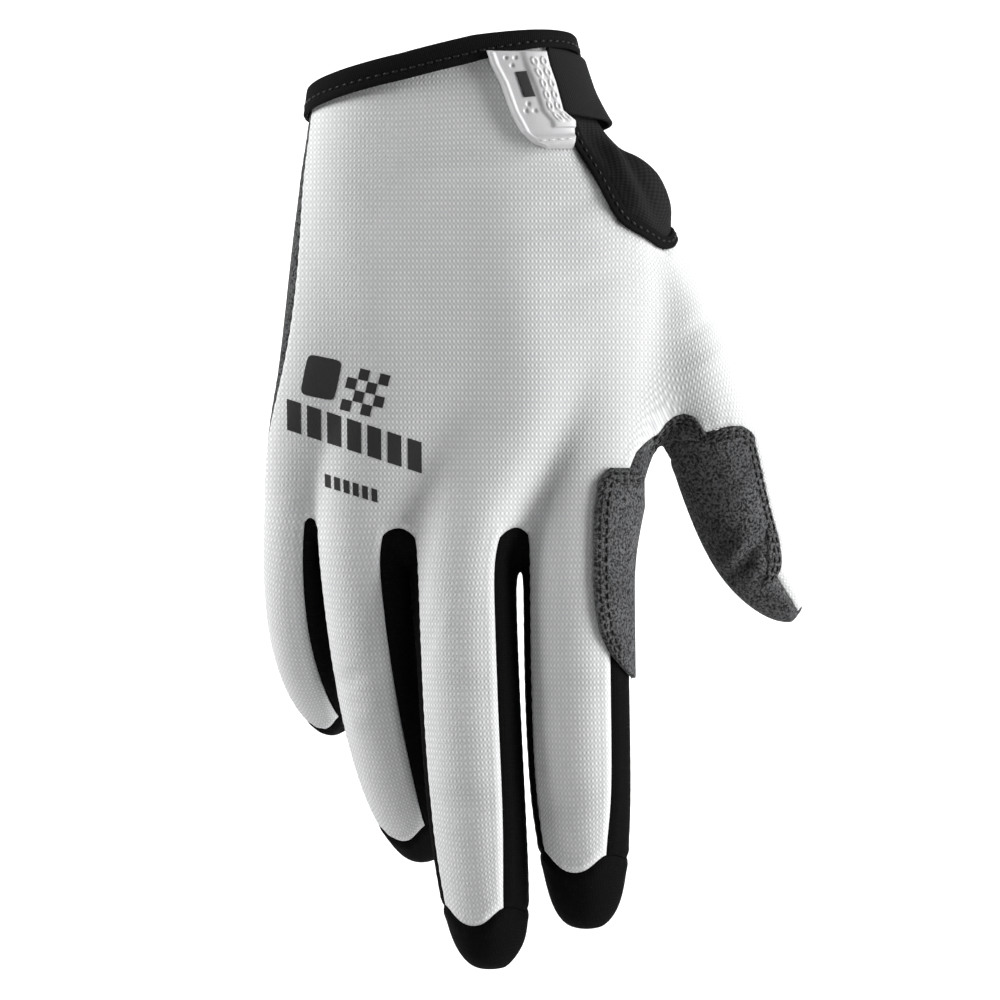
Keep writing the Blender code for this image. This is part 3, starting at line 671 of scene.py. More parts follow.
def refined(points, faces):
    """One Catmull-Clark step on quads or mixed faces: a new point for each face, edge and point."""
    counts = np.array([len(f) for f in faces]) if isinstance(faces, list) else np.full(len(faces), 4)
    corner = np.concatenate(faces) if isinstance(faces, list) else faces.ravel()
    owner = np.repeat(np.arange(len(counts)), counts)
    starts = np.cumsum(counts) - counts
    place = np.arange(len(corner)) - starts[owner]
    after = corner[starts[owner] + (place + 1) % counts[owner]]
    number = len(points)

    def gathered(index, values, size):
        return np.stack([np.bincount(index, column, size) for column in values.T], axis=1)

    centres = gathered(owner, points[corner], len(counts)) / counts[:, None]
    low = np.minimum(corner, after)
    high = np.maximum(corner, after)
    keys, edge_of, uses = np.unique(low * number + high, return_inverse=True, return_counts=True)
    ends = np.stack([keys // number, keys % number], axis=1)
    mids = points[ends].mean(axis=1)
    beside = gathered(edge_of, centres[owner], len(keys))
    inner = (uses == 2)[:, None]
    edge_points = np.where(inner, (2 * mids + beside) / 4, mids)
    valence = np.bincount(corner, minlength=number)[:, None]
    face_mean = gathered(corner, centres[owner], number) / valence
    both = ends.T.ravel()
    degree = np.bincount(both, minlength=number)[:, None]
    mid_mean = gathered(both, np.tile(mids, (2, 1)), number) / degree
    rim_ends = ends[uses == 1].T.ravel()
    rim_sum = gathered(rim_ends, np.tile(mids[uses == 1], (2, 1)), number)
    on_rim = np.bincount(rim_ends, minlength=number)[:, None] > 0
    smooth = (face_mean + 2 * mid_mean + (valence - 3) * points) / valence
    old = np.where(on_rim, points / 2 + rim_sum / 4, smooth)
    before = edge_of[starts[owner] + (place - 1) % counts[owner]]
    quads = np.stack([corner, number + edge_of, number + len(keys) + owner, number + before], axis=1)
    return np.concatenate([old, edge_points, centres]), quads, owner


def hung(place):
    """The form moved as the cloth hangs: at the cuff by a table over x that fades down the wrist on a smooth
    step, and at the slit's end by a bell."""
    x, across, down = (np.array(column) for column in zip(*CUFF_HANG))
    near = smooth_step((place[:, 2] - HANG_FROM) / HANG_OVER)
    sx, sz, dx, dz, reach = SLIT_END
    close = np.exp(-((place[:, 0] - sx) ** 2 + (place[:, 2] - sz) ** 2) / reach**2)
    moved = place.copy()
    moved[:, 0] += np.interp(place[:, 0], x, across) * near + dx * close
    moved[:, 2] += np.interp(place[:, 0], x, down) * near + dz * close
    return moved


def fine_form():
    """The cage refined to a smooth form: points, weave coordinates, quads and the cloth of each quad."""
    cage, faces, cloths, weave = glove_cage()
    points = np.concatenate([cage, weave], axis=1)
    for _ in range(REFINEMENTS):
        points, faces, owner = refined(points, faces)
        cloths = cloths[owner]
    return hung(points[:, :3]), points[:, 3:], faces, cloths


def point_normals(points, quads):
    """Unit normals at the points: the cross products of the quads' diagonals, summed at each point."""
    a, b, c, d = (points[quads[:, k]] for k in range(4))
    across = np.cross(c - a, d - b)
    total = np.stack(
        [np.bincount(quads.ravel(), np.repeat(across[:, k], 4), len(points)) for k in range(3)], axis=1
    )
    return unit(total)


def open_edges(quads):
    """The directed edges of some quads that no neighbour shares."""
    starts = quads.ravel()
    stops = np.roll(quads, -1, axis=1).ravel()
    number = int(quads.max()) + 1
    keys = starts * number + stops
    alone = ~np.isin(keys, stops * number + starts)
    return np.stack([starts[alone], stops[alone]], axis=1)


def border_lines(edges):
    """The open edges joined to closed lines of points."""
    follow = dict(edges.tolist())
    lines = []
    while follow:
        first = next(iter(follow))
        line = [first]
        step = follow.pop(first)
        while step != first:
            line.append(step)
            step = follow.pop(step)
        lines.append(np.array(line))
    return lines


def border_field(place, lines):
    """For every point, the distance to the nearest border point and that point's length along its border."""
    rims = []
    runs = []
    for line in lines:
        loop = place[line]
        steps = np.linalg.norm(np.roll(loop, -1, axis=0) - loop, axis=1)
        rims.append(loop)
        runs.append(np.cumsum(steps) - steps)
    rims = np.concatenate(rims).astype(np.float32)
    runs = np.concatenate(runs)
    away = np.empty(len(place))
    run = np.empty(len(place))
    squares = (rims**2).sum(axis=1)
    for first in range(0, len(place), BATCH):
        part = place[first : first + BATCH].astype(np.float32)
        found = squares[None] - 2 * part @ rims.T
        nearest = found.argmin(axis=1)
        away[first : first + BATCH] = np.linalg.norm(part - rims[nearest], axis=1)
        run[first : first + BATCH] = runs[nearest]
    return away, run


def placed(name, data):
    """An object in the scene for a mesh, a light or a camera."""
    made = bpy.data.objects.new(name, data)
    bpy.context.scene.collection.objects.link(made)
    return made


def add_mesh(name, points, quads, finish, weave=None, smooth_angle=None):
    """A mesh object from points in millimetres and faces of one size, with its weave coordinates as a UV
    map."""
    faces = np.asarray(quads)
    mesh = bpy.data.meshes.new(name)
    mesh.vertices.add(len(points))
    mesh.vertices.foreach_set("co", (np.asarray(points) * MM).astype(np.float32).ravel())
    mesh.loops.add(faces.size)
    mesh.loops.foreach_set("vertex_index", faces.ravel().astype(np.int32))
    mesh.polygons.add(len(faces))
    mesh.polygons.foreach_set("loop_start", np.arange(0, faces.size, faces.shape[1], dtype=np.int32))
    mesh.update(calc_edges=True)
    mesh.validate()
    if weave is not None:
        layer = mesh.uv_layers.new(name="weave")
        layer.data.foreach_set("uv", (weave[faces.ravel()] * WEAVE_SCALE).astype(np.float32).ravel())
    mesh.materials.append(finish)
    mesh.shade_smooth()
    if smooth_angle:
        mesh.set_sharp_from_angle(angle=math.radians(smooth_angle))
    made = placed(name, mesh)
    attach(made, "root")
    return made


def border_pull(place, normal, edges):
    """At the border's points, the sum of the two border edges' directions into the cloth."""
    pull = np.zeros_like(place)
    edge = place[edges[:, 1]] - place[edges[:, 0]]
    for k in (0, 1):
        sideways = unit(np.cross(normal[edges[:, k]], edge))
        for axis in range(3):
            pull[:, axis] += np.bincount(edges[:, k], sideways[:, axis], len(place))
    return pull


def folds(place, table):
    """Soft folds in millimetres: ridges and dents, each a bell shape along and across its line."""
    height = np.zeros(len(place))
    for x, z, turn, long, wide, rise in table:
        angle = math.radians(turn)
        along = (place[:, 0] - x) * math.cos(angle) + (place[:, 2] - z) * math.sin(angle)
        across = (place[:, 2] - z) * math.cos(angle) - (place[:, 0] - x) * math.sin(angle)
        height += rise * np.exp(-((along / long) ** 2) - (across / wide) ** 2)
    return height * (place[:, 1] < FOLD_LAST_Y)


def cut_out(form):
    """One cloth of the form with points of its own: points, weave coordinates, normals, faces, open edges."""
    points, weave, normals, quads = form
    used, index = np.unique(quads, return_inverse=True)
    faces = index.reshape(-1, 4)
    return points[used], weave[used], normals[used], faces, open_edges(faces)


def cloth_shell(name, form, wall, finish):
    """One cloth as a closed shell. Its surface is the form, drawn in from its seams by half the seam gap,
    rolled down at the border by a falling exponential, and puckered by a sine along the border that dies
    away inwards. The inner wall is the form moved in by the thickness."""
    place, weave, normal, faces, edges = cut_out(form)
    away, run = border_field(place, border_lines(edges))
    pull = border_pull(place, normal, edges)
    square = (pull**2).sum(axis=1, keepdims=True)
    drawn = pull / np.maximum(square, LEAST_CORNER) * SEAM_OPEN
    roll = SEAM_ROLL if wall > STRETCH_WALL else STRETCH_ROLL
    height = -roll * np.exp(-away / SEAM_ROLL_WIDTH)
    height += SEAM_RIDGE * bell(away - RIDGE_FROM_SEAM, RIDGE_WIDTH)
    height += PUCKER * np.sin(run * 2 * math.pi / PUCKER_LENGTH) * np.exp(-away / PUCKER_REACH)
    height[edges.ravel()] = -roll
    if name in FOLDS:
        height += folds(place, FOLDS[name]) * (1 - np.exp(-away / FOLD_FADE))
    outer = place + drawn + normal * height[:, None]
    inner = place + drawn * INNER_DRAW - normal * wall
    count = len(place)
    walls = np.stack([edges[:, 0] + count, edges[:, 1] + count, edges[:, 1], edges[:, 0]], axis=1)
    every = np.concatenate([faces, faces[:, ::-1] + count, walls])
    both = np.concatenate([outer, inner])
    made = add_mesh(f"{name}_cloth", both, every, finish, np.tile(weave, (2, 1)), CLOTH_ANGLE)
    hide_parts(name)
    return outer, faces


def cast(tree, starts, ways):
    """Where rays meet the form: the points and the normals there."""
    hits = np.zeros((len(starts), 3))
    normals = np.zeros((len(starts), 3))
    for k, (start, way) in enumerate(zip(starts, ways)):
        hit, normal, _, _ = tree.ray_cast(Vector(start), Vector(way))
        hits[k] = hit
        normals[k] = normal
    return hits, normals


def from_front(tree, x, z):
    """The form seen from in front of the back of the hand, at grids of x and z."""
    starts = np.stack([x.ravel(), np.full(x.size, IN_FRONT), z.ravel()], axis=1)
    hits, normals = cast(tree, starts, np.tile((0.0, 1.0, 0.0), (x.size, 1)))
    return hits.reshape(*x.shape, 3), normals.reshape(*x.shape, 3)


def around(tree, axis, height, turn):
    """The form seen from an upright axis, at grids of heights and of turns from the back. The way out is
    half the surface's own normal and half the ray's, so that it fans evenly."""
    ways = np.stack([np.sin(turn), -np.cos(turn), np.zeros_like(turn)], axis=-1).reshape(-1, 3)
    starts = np.stack([np.full(turn.size, axis), np.zeros(turn.size), height.ravel()], axis=1)
    hits, normals = cast(tree, starts, ways)
    return hits.reshape(*turn.shape, 3), unit(normals + ways).reshape(*turn.shape, 3)


def nearest(tree, points, lift):
    """The points of the form nearest to some points, moved off it by a height, with the normals there."""
    found = [tree.find_nearest(Vector(point))[:2] for point in points]
    normals = np.array([normal for _, normal in found])
    return np.array([hit for hit, _ in found]) + normals * lift, normals


def signed_volume(points, quads):
    """Six times the volume within, as the sum of the corners' triple products: negative if turned inwards."""
    a, b, c, d = (points[quads[:, k]] for k in range(4))
    return float((a * np.cross(b, c)).sum() + (a * np.cross(c, d)).sum())


def outward(points, quads):
    """Faces of a closed shape, turned round if they point inwards."""
    return quads[:, ::-1] if signed_volume(points, quads) < 0 else quads


def slab(lower, upper, weave):
    """A closed slab between two equal grids of points, as points, quads and weave coordinates."""
    rows, columns = lower.shape[:2]
    count = rows * columns
    grid = np.arange(count).reshape(rows, columns)
    top = np.stack([grid[:-1, :-1], grid[:-1, 1:], grid[1:, 1:], grid[1:, :-1]], axis=-1).reshape(-1, 4)
    edge = np.concatenate([grid[0, :-1], grid[:-1, -1], grid[-1, :0:-1], grid[:0:-1, 0]])
    after = np.roll(edge, -1)
    walls = np.stack([edge, edge + count, after + count, after], axis=1)
    points = np.concatenate([upper.reshape(-1, 3), lower.reshape(-1, 3)])
    quads = np.concatenate([top, top[:, ::-1] + count, walls])
    return points, outward(points, quads), np.tile(weave.reshape(-1, 2), (2, 1))


def tube(rings, weave, looped):
    """A closed tube through equal rings, as points, quads and weave coordinates. Each end of one that isn't
    looped is closed with quads across the ring."""
    count, size = rings.shape[:2]
    grid = np.arange(count * size).reshape(count, size)
    if looped:
        grid = np.concatenate([grid, grid[:1]])
    round_on = np.roll(grid, -1, axis=1)
    quads = np.stack([grid[:-1], round_on[:-1], round_on[1:], grid[1:]], axis=-1).reshape(-1, 4)
    if not looped:
        half = size // 2
        for ring, way in ((grid[0], -1), (grid[-1], 1)):
            strip = [[ring[k], ring[k + 1], ring[size - 2 - k], ring[size - 1 - k]] for k in range(half - 1)]
            quads = np.concatenate([quads, np.array(strip)[:, ::way]])
    points = rings.reshape(-1, 3)
    return points, outward(points, quads), weave.reshape(-1, 2)


def add_parts(name, parts, finish, smooth_angle=None):
    """Several closed parts as one piece."""
    firsts = np.cumsum([0, *(len(points) for points, _, _ in parts[:-1])])
    points = np.concatenate([part[0] for part in parts])
    quads = np.concatenate([part[1] + first for part, first in zip(parts, firsts)])
    weave = np.concatenate([part[2] for part in parts])
    made = add_mesh(name, points, quads, finish, weave, smooth_angle)
    return made


def eased(count):
    """Shares from 0 to 1 that lie closer together towards both ends."""
    return 0.5 - 0.5 * np.cos(np.linspace(0, math.pi, count))


def rounded(distance, radius):
    """How high a rounded edge has risen, from 0 to 1, at a distance from the edge."""
    left = 1 - np.clip(distance / radius, 0, 1)
    return np.sqrt(1 - left**2)


def grid_of(down, across):
    """Two arrays over a grid, from the values down it and across it."""
    return np.meshgrid(down, across, indexing="ij")


def run_of(place):
    """Length run along the first axis of a grid of points."""
    steps = np.linalg.norm(np.diff(place, axis=0), axis=-1)
    return np.concatenate([np.zeros((1, *steps.shape[1:])), np.cumsum(steps, axis=0)])


def run_across(place):
    """Length run along the second axis of a grid of points."""
    return run_of(np.swapaxes(place, 0, 1)).T


def woven(run, across):
    """Weave coordinates over a grid, from a length along each of its two axes."""
    return np.stack(np.broadcast_arrays(run[:, None], across[None]), axis=-1)


def softened(line, rounds, looped=False):
    """A line of points with its corners worn down by averaging with its neighbours."""
    line = line.copy()
    for _ in range(rounds):
        if looped:
            line = (np.roll(line, 1, axis=0) + 2 * line + np.roll(line, -1, axis=0)) / 4
        else:
            line[1:-1] = (line[:-2] + 2 * line[1:-1] + line[2:]) / 4
    return line


def stitches(line, normals, pitch=STITCH_PITCH, thick=STITCH_THICK):
    """A row of stitches along a line: each one a low six-sided bead whose ends dip into the cloth. Two quads
    close each end."""
    run = run_of(line)
    number = max(int(run[-1] / pitch), 1)
    at = (np.arange(number) + 0.5) * run[-1] / number
    up = unit(sampled(at, run, normals))
    along = unit(sampled(at + STITCH_AIM, run, line) - sampled(at - STITCH_AIM, run, line))
    side = np.cross(up, along)
    turns = np.arange(STITCH_SIDES) * 2 * math.pi / STITCH_SIDES
    where, width, rise = (np.array(column)[:, None] for column in zip(*STITCH_RINGS))
    ahead = np.repeat(where * (pitch * STITCH_SHARE / 2), STITCH_SIDES, axis=1)
    aside = np.cos(turns) * thick * width
    above = (np.sin(turns) * width * STITCH_FLAT + rise) * thick
    points = sampled(at, run, line)[:, None]
    for way, shift in ((along, ahead), (side, aside), (up, above)):
        points = points + way[:, None] * shift.reshape(1, -1, 1)
    count = points.shape[1]
    ring = np.arange(STITCH_SIDES)
    after = (ring + 1) % STITCH_SIDES
    wall = np.stack([ring, after, STITCH_SIDES + after, STITCH_SIDES + ring], axis=1)
    end = np.array([[3, 2, 1, 0], [5, 4, 3, 0]])
    firsts = [k * STITCH_SIDES for k in range(len(STITCH_RINGS))]
    quads = np.concatenate([*(wall + first for first in firsts[:-1]), end, end[:, ::-1] + firsts[-1]])
    every = (quads[None] + np.arange(number)[:, None, None] * count).reshape(-1, 4)
    points = points.reshape(-1, 3)
    return points, outward(points, every), np.zeros((len(points), 2))


def seam_lines(form, inset):
    """Lines that run inside a cloth's borders at a distance from them."""
    place, _, normal, _, edges = cut_out(form)
    pull = border_pull(place, normal, edges)
    lines = []
    for line in border_lines(edges):
        inward = softened(unit(pull[line]), 6, looped=True)
        lines.append(softened(place[line] + unit(inward) * inset, 10, looped=True))
    return lines


def add_cuff_binding(points, quads, normals, finish, thread):
    """The tape folded over the cuff. Its section is a U with a round fold and a groove for the stitches,
    swept round the open border of the form."""
    line = border_lines(open_edges(quads))[0][::2]
    place = points[line]
    out = unit(normals[line])
    onward = np.roll(place, -1, axis=0) - np.roll(place, 1, axis=0)
    down = unit(np.cross(out, onward))
    if down[:, 2].mean() > 0:
        down = -down
    near = LAID_GAP + LAID_MORE
    far = near + BINDING_WALL
    inside = -KNIT_WALL - near
    slim = smooth_step((place[:, 0] - SLIM_FROM) / SLIM_OVER)
    tall = (BINDING_TALL - (BINDING_TALL - BINDING_SLIM) * slim)[:, None, None]
    groove = BINDING_HEIGHT * BINDING_GROOVE
    fold = np.radians(np.linspace(0, 180, 9))
    middle = (far + inside - BINDING_WALL) / 2
    reach = (far - inside + BINDING_WALL) / 2
    bend = [(middle + math.cos(a) * reach, -math.sin(a) * reach * FOLD_ROUND - 0.1) for a in fold]
    section = np.array([
        (near, BINDING_HEIGHT), (far - 0.3, BINDING_HEIGHT + 0.1), (far, BINDING_HEIGHT - 0.25),
        (far, groove + 0.45), (far - 0.22, groove), (far, groove - 0.45), (far + 0.05, 0.8), *bend,
        (inside - BINDING_WALL, BINDING_HEIGHT - 0.3), (inside, BINDING_HEIGHT), (inside, -near),
        (near, -near),
    ])
    heights = section[None, :, 1:] * np.where(section[None, :, 1:] > 0, tall / BINDING_HEIGHT, 1)
    rings = place[:, None] + out[:, None] * section[None, :, :1] + down[:, None] * heights
    weave = woven(run_of(place), run_of(section))
    made = add_parts("cuff_tape", [tube(rings, weave, looped=True)], finish, TAPE_ANGLE)
    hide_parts("cuff_binding")
    row = place + out * (far - 0.15) + down * groove * tall[:, 0] / BINDING_HEIGHT
    row = np.concatenate([row, row[:1]])
    up = np.concatenate([out, out[:1]])
    add_parts("cuff_stitches", [stitches(row, up)], thread)


def add_slit_binding(form, cloths, tree, finish, thread):
    """The tape along the wrist slit, over the seam between the gusset and the cloths beside it."""
    points, quads, normals = form
    (line,) = border_lines(open_edges(quads[cloths == "wrist_gusset"]))
    limit = STRAP_TOP + STRAP_RISE - STRAP_BROAD - BELOW_STRAP
    heights = points[line][:, 2]
    first = next(k for k in range(len(line)) if heights[k - 1] > limit > heights[k])
    line = np.roll(line, -first)
    line = line[points[line][:, 2] < limit]
    place = softened(points[line], SLIT_SOFT)[::2]
    out = normals[line][::2]
    onward = unit(np.gradient(place, axis=0))
    across = unit(np.cross(out, onward))
    low = LAID_GAP + LAID_MORE
    high = low + SLIT_BINDING_WALL
    wide = SLIT_BINDING_WIDTH / 2
    corners = (
        (-0.97, low), (-0.3, low), (0.3, low), (0.97, low), (1.0, 0.6 * high), (0.85, high - 0.1),
        (0.6, high), (0.15, high - 0.15), (-0.15, high - 0.15), (-0.6, high), (-0.85, high - 0.1),
        (-1.0, 0.6 * high),
    )
    rings = np.zeros((len(place), len(corners), 3))
    for k, (share, lift) in enumerate(corners):
        rings[:, k] = nearest(tree, place + across * share * wide, lift)[0]
    weave = woven(run_of(place), np.array([share * wide for share, _ in corners]))
    made = add_parts("slit_tape", [tube(rings, weave, looped=False)], finish, TAPE_ANGLE)
    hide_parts("slit_binding")
    row, up = nearest(tree, place, high - 0.1)
    add_parts("slit_stitches", [stitches(softened(row, 4), up)], thread)


def add_wrist_strap(tree, finish):
    """The elastic band from the tab's edge round the thumb side to the palm. It stands off the wrist
    between."""
    downs, shares = grid_of(eased(STRAP_GRID[0]), np.linspace(0, 1, STRAP_GRID[1]))
    tab_downs, _, tab_edges = zip(*TAB_ROWS)
    levels = STRAP_TOP + STRAP_RISE - STRAP_BROAD * downs
    tab_down = (TAB_TOP + TAB_RISE - levels[:, 0]) / TAB_TALL
    edges = np.interp(tab_down, tab_downs, tab_edges) * TAB_LENGTH
    hits, _ = from_front(tree, edges + TAB_TO_STRAP, levels[:, 0])
    first = np.arctan2(hits[:, 0], -hits[:, 1])[:, None]
    turns = first + (STRAP_END - first) * shares
    place, way = around(tree, 0, levels - STRAP_FALL * shares, turns)
    stand = np.sin(math.pi * shares) ** STRAP_LIFT_POWER * STRAP_STAND * (0.4 + 0.6 * downs)
    from_edge = np.minimum(downs, 1 - downs) * STRAP_BROAD
    crown = rounded(from_edge, STRAP_EDGE_ROUND) * 0.9 + 0.1
    lower = place + way * (LAID_GAP + stand + STRAP_WALL * 0.35 * (1 - crown))[..., None]
    upper = place + way * (LAID_GAP + stand + STRAP_WALL * (0.55 + 0.45 * crown))[..., None]
    weave = np.stack([run_across(place), downs * STRAP_BROAD], axis=-1)
    made = add_parts("strap_elastic", [slab(lower, upper, weave)], finish, CLOTH_ANGLE)
    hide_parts("wrist_strap")


def tab_height(x, z, across, down):
    """Height of the moulded tab in millimetres: a rim down the left edge and along the foot, a low plate, a
    raised part on the right with two columns of oval rings, and small dimples."""
    rim = bell(across - TAB_RIM[0], TAB_RIM[1], 4) + bell(down - TAB_FOOT[0], TAB_FOOT[1], 4)
    raised = 1 / (1 + np.exp(-(across - RAISED_FROM) * RAISED_STEEP)) * (down < RAISED_TO)
    height = np.clip(rim, 0, 1) + raised * RAISED_HIGH
    below = (np.mod(down - OVAL_FIRST, OVAL_PITCH) - OVAL_PITCH / 2) / OVAL_HALF
    within = np.abs(down - OVAL_ROWS[0]) < OVAL_ROWS[1]
    radius, wide, high = OVAL_RING
    for centre in OVAL_COLUMNS:
        ring = np.hypot((across - centre) / OVAL_HALF, below)
        height = height + high * bell(ring - radius, wide, 4) * within
    for px, pz in TAB_DIMPLES:
        height = height - DIMPLE_DEEP * bell(np.hypot(x - px, z - pz), DIMPLE_RADIUS, 4)
    return height


def add_closure_tab(tree, finish, ink, thread):
    """The moulded tab on the back of the wrist, with a plain printed bar and stitches along its foot."""
    row_down, row_left, row_right = zip(*TAB_ROWS)
    down, across = grid_of(eased(TAB_GRID[0]), eased(TAB_GRID[1]))
    left = np.interp(down, row_down, row_left) * TAB_LENGTH
    right = np.interp(down, row_down, row_right) * TAB_LENGTH
    x = left + (right - left) * across
    z = TAB_TOP + TAB_RISE - down * TAB_TALL
    place, normals = from_front(tree, x, z)
    from_side = np.minimum(across, 1 - across) * (right - left)
    crown = rounded(np.minimum(from_side, np.minimum(down, 1 - down) * TAB_TALL), EDGE_ROUND)
    height = TAB_WALL * crown + tab_height(x, z, across, down) * TAB_RELIEF * crown
    lower = place + normals * LAID_GAP
    upper = place + normals * (TAB_BASE + height)[..., None]
    weave = np.stack([x, z], axis=-1)
    made = add_parts("moulded_tab", [slab(lower, upper, weave)], finish, CLOTH_ANGLE)
    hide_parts("closure_tab")
    u, v = grid_of(np.linspace(0, 1, BAR_GRID[0]), np.linspace(0, 1, BAR_GRID[1]))
    bar_left, bar_top, bar_wide, bar_tall, bar_lean, bar_rise = TAB_BAR
    bar_x = bar_left + u * bar_wide + bar_lean * v * bar_tall
    bar_z = bar_top - v * bar_tall + u * bar_rise
    place, normals = from_front(tree, bar_x, bar_z)
    base = TAB_BASE + TAB_WALL
    top = place + normals * (base + BAR_LIFT)
    bar = slab(place + normals * base, top, np.stack([bar_x, bar_z], axis=-1))
    add_parts("tab_bar", [bar], ink)
    foot = np.linspace(0.12, 0.9, 40)
    foot_left = np.interp(TAB_FOOT[0], row_down, row_left) * TAB_LENGTH
    foot_x = foot_left * (1 - foot) + foot * row_right[-1] * TAB_LENGTH
    foot_z = TAB_TOP + TAB_RISE - TAB_FOOT[0] * TAB_TALL
    place, normals = from_front(tree, foot_x, np.full(len(foot), foot_z))
    row = stitches(place + normals * (base + TAB_RELIEF), normals, thick=TAB_STITCH_THICK)
    add_parts("tab_stitches", [row], thread)


def patch_point(tree, down, turn):
    """The form at a share of the patch's length and a turn round the index finger."""
    down, turn = np.broadcast_arrays(down, turn)
    return around(tree, PATCH_AXIS, PATCH_TOP - PATCH_LENGTH * down, turn)


def add_index_patch(tree, finish, thread):
    """The suede patch round the side of the index knuckle, with two rows of stitches inside its edge."""
    downs, reaches = zip(*PATCH_ROWS)
    down, share = grid_of(eased(PATCH_GRID[0]), eased(PATCH_GRID[1]))
    reach = softened(np.interp(down[:, 0], downs, reaches), 3)
    tries = np.linspace(0, PATCH_END, 90)
    seen = patch_point(tree, down[:, :1], tries[None])[0][..., 0]
    widest = np.maximum.accumulate(seen + tries * 1e-6, axis=1)
    edge = PATCH_AXIS + reach * FINGER_WIDTH
    first = np.array([np.interp(x, row, tries) for x, row in zip(edge, widest)])[:, None]
    past = (seen > PATCH_REACH) & (down[:, :1] < 0.5)
    last = np.where(past.any(axis=1), tries[past.argmax(axis=1)], PATCH_END)[:, None]
    turn = first + (softened(last, 12) - first) * share
    place, way = patch_point(tree, down, turn)
    round_run = run_across(place)
    from_edge = np.minimum(round_run, np.minimum(down, 1 - down) * PATCH_LENGTH)
    crown = rounded(from_edge, EDGE_ROUND)
    low = LAID_GAP + LAID_MORE
    lower = place + way * low
    upper = place + way * (low + PATCH_WALL * (0.25 + 0.75 * crown))[..., None]
    weave = np.stack([round_run, down * PATCH_LENGTH], axis=-1)
    made = add_parts("index_suede", [slab(lower, upper, weave)], finish, CLOTH_ANGLE)
    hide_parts("index_patch")
    rows = []
    for inset in PATCH_STITCH_INSETS:
        top = inset / PATCH_LENGTH
        side = np.linspace(top, PATCH_ROW_END - top, 60)
        inner = np.interp(side, down[:, 0], first[:, 0]) + inset / PATCH_RADIUS
        over = np.linspace(np.interp(top, down[:, 0], turn[:, -1]) - 0.1, inner[0], 20)[:-1]
        path_down = np.concatenate([np.full(len(over), top), side])
        path_turn = np.concatenate([over, inner])
        place, way = patch_point(tree, path_down, path_turn)
        rows.append(stitches(softened(place, 3) + way * (low + PATCH_WALL + 0.05), way))
    add_parts("patch_stitches", rows, thread)


def add_thumb_stitches(form, tree, thread):
    """Two rows of stitches inside the outer edge of the thumb's suede, above its flap."""
    rows = []
    for inset in THUMB_STITCH_INSETS:
        for line in seam_lines(form, inset):
            place, normals = nearest(tree, line, 0.1)
            place = softened(place, 6, looped=True)
            outer = place[:, 0] > THUMB_STITCH_FROM
            shown = (place[:, 2] > THUMB_STITCH_END) & (normals[:, 1] < THUMB_STITCH_TURN) & outer
            first = int(np.argmax(shown & ~np.roll(shown, 1)))
            place, normals, shown = (np.roll(values, -first, axis=0) for values in (place, normals, shown))
            last = int(np.argmin(shown))
            rows.append(stitches(place[:last], normals[:last]))
    add_parts("thumb_stitches", rows, thread)


def met_share(tree, x, z):
    """For rays set in columns, the share of each column before the first ray that misses the form."""
    missed = np.isnan(from_front(tree, x, z)[0][..., 0])
    last = len(x) - 1
    return np.where(missed.any(axis=0), missed.argmax(axis=0) - 2, last).clip(1, last) / last


def overlaid(tree, x, z, thick, fading):
    """A cloth laid on the form as seen from in front: rounded at its edges, and sinking into the cloth below
    where its fading share nears nothing."""
    place, normals = from_front(tree, x, z)
    run = run_of(place)
    side = run_across(place)
    from_edge = np.minimum(run, np.minimum(side, side[:, -1:] - side))
    height = rounded(from_edge, EDGE_ROUND) * (thick + SUNK) * np.clip(fading, 0, 1) - SUNK
    lower = place - normals * SUNK_FOOT
    upper = place + normals * height[..., None]
    return slab(lower, upper, np.stack([x, z], axis=-1)), upper, normals


def add_thumb_suede(tree, finish, thread):
    """The suede's two lobes on the back of the thumb's root and the flap above its tip, with their
    stitches."""
    x, top, foot = (np.array(column) for column in zip(*LOBES))
    span = np.linspace(x[0], x[-1], LOBE_GRID[1])
    down, across = grid_of(np.linspace(0, 1, LOBE_GRID[0]), span)
    high = softened(np.interp(span, x, top), 3)
    low = np.interp(span, x, foot)
    low = high + (low - high) * met_share(tree, across, high + (low - high) * down)
    lobes, top_side, up = overlaid(tree, across, high + (low - high) * down, SUEDE_LIFT, (1 - down) * 4)
    z, left, right = (np.array(column) for column in zip(*FLAP))
    span = np.linspace(z[0], z[-1], FLAP_GRID[1])
    across, down = grid_of(np.linspace(0, 1, FLAP_GRID[0]), span)
    outer = softened(np.interp(-span, -z, right), 3)
    inner = np.interp(-span, -z, left)
    outer = inner + (outer - inner) * met_share(tree, inner + (outer - inner) * across, down)
    flap_x = outer + (inner - outer) * across
    flap, flap_side, way = overlaid(tree, flap_x, down, SUEDE_LIFT, (1 - across) * 4)
    add_parts("thumb_suede", [lobes, flap], finish, CLOTH_ANGLE)
    rows = []
    for inset in LOBE_STITCH_INSETS:
        for place, normals, column in (
            (top_side, up, np.arange(*LOBE_STITCH_COLUMNS)),
            (flap_side, way, np.arange(*FLAP_STITCH_COLUMNS)),
        ):
            pick = np.minimum((run_of(place) < inset).sum(axis=0), len(place) - 1)[column]
            rows.append(stitches(softened(place[pick, column], 5), normals[pick, column]))
    add_parts("thumb_suede_stitches", rows, thread)


def print_patch(tree, shape, count):
    """A thin printed piece on the knit, seen from in front: a grid over a square, carried to a shape."""
    x, z = shape(*grid_of(np.linspace(-1, 1, count), np.linspace(-1, 1, count)))
    place, normals = from_front(tree, x, z)
    lift = normals * PRINT_LIFT
    return slab(place - lift, place + lift, np.stack([x, z], axis=-1))


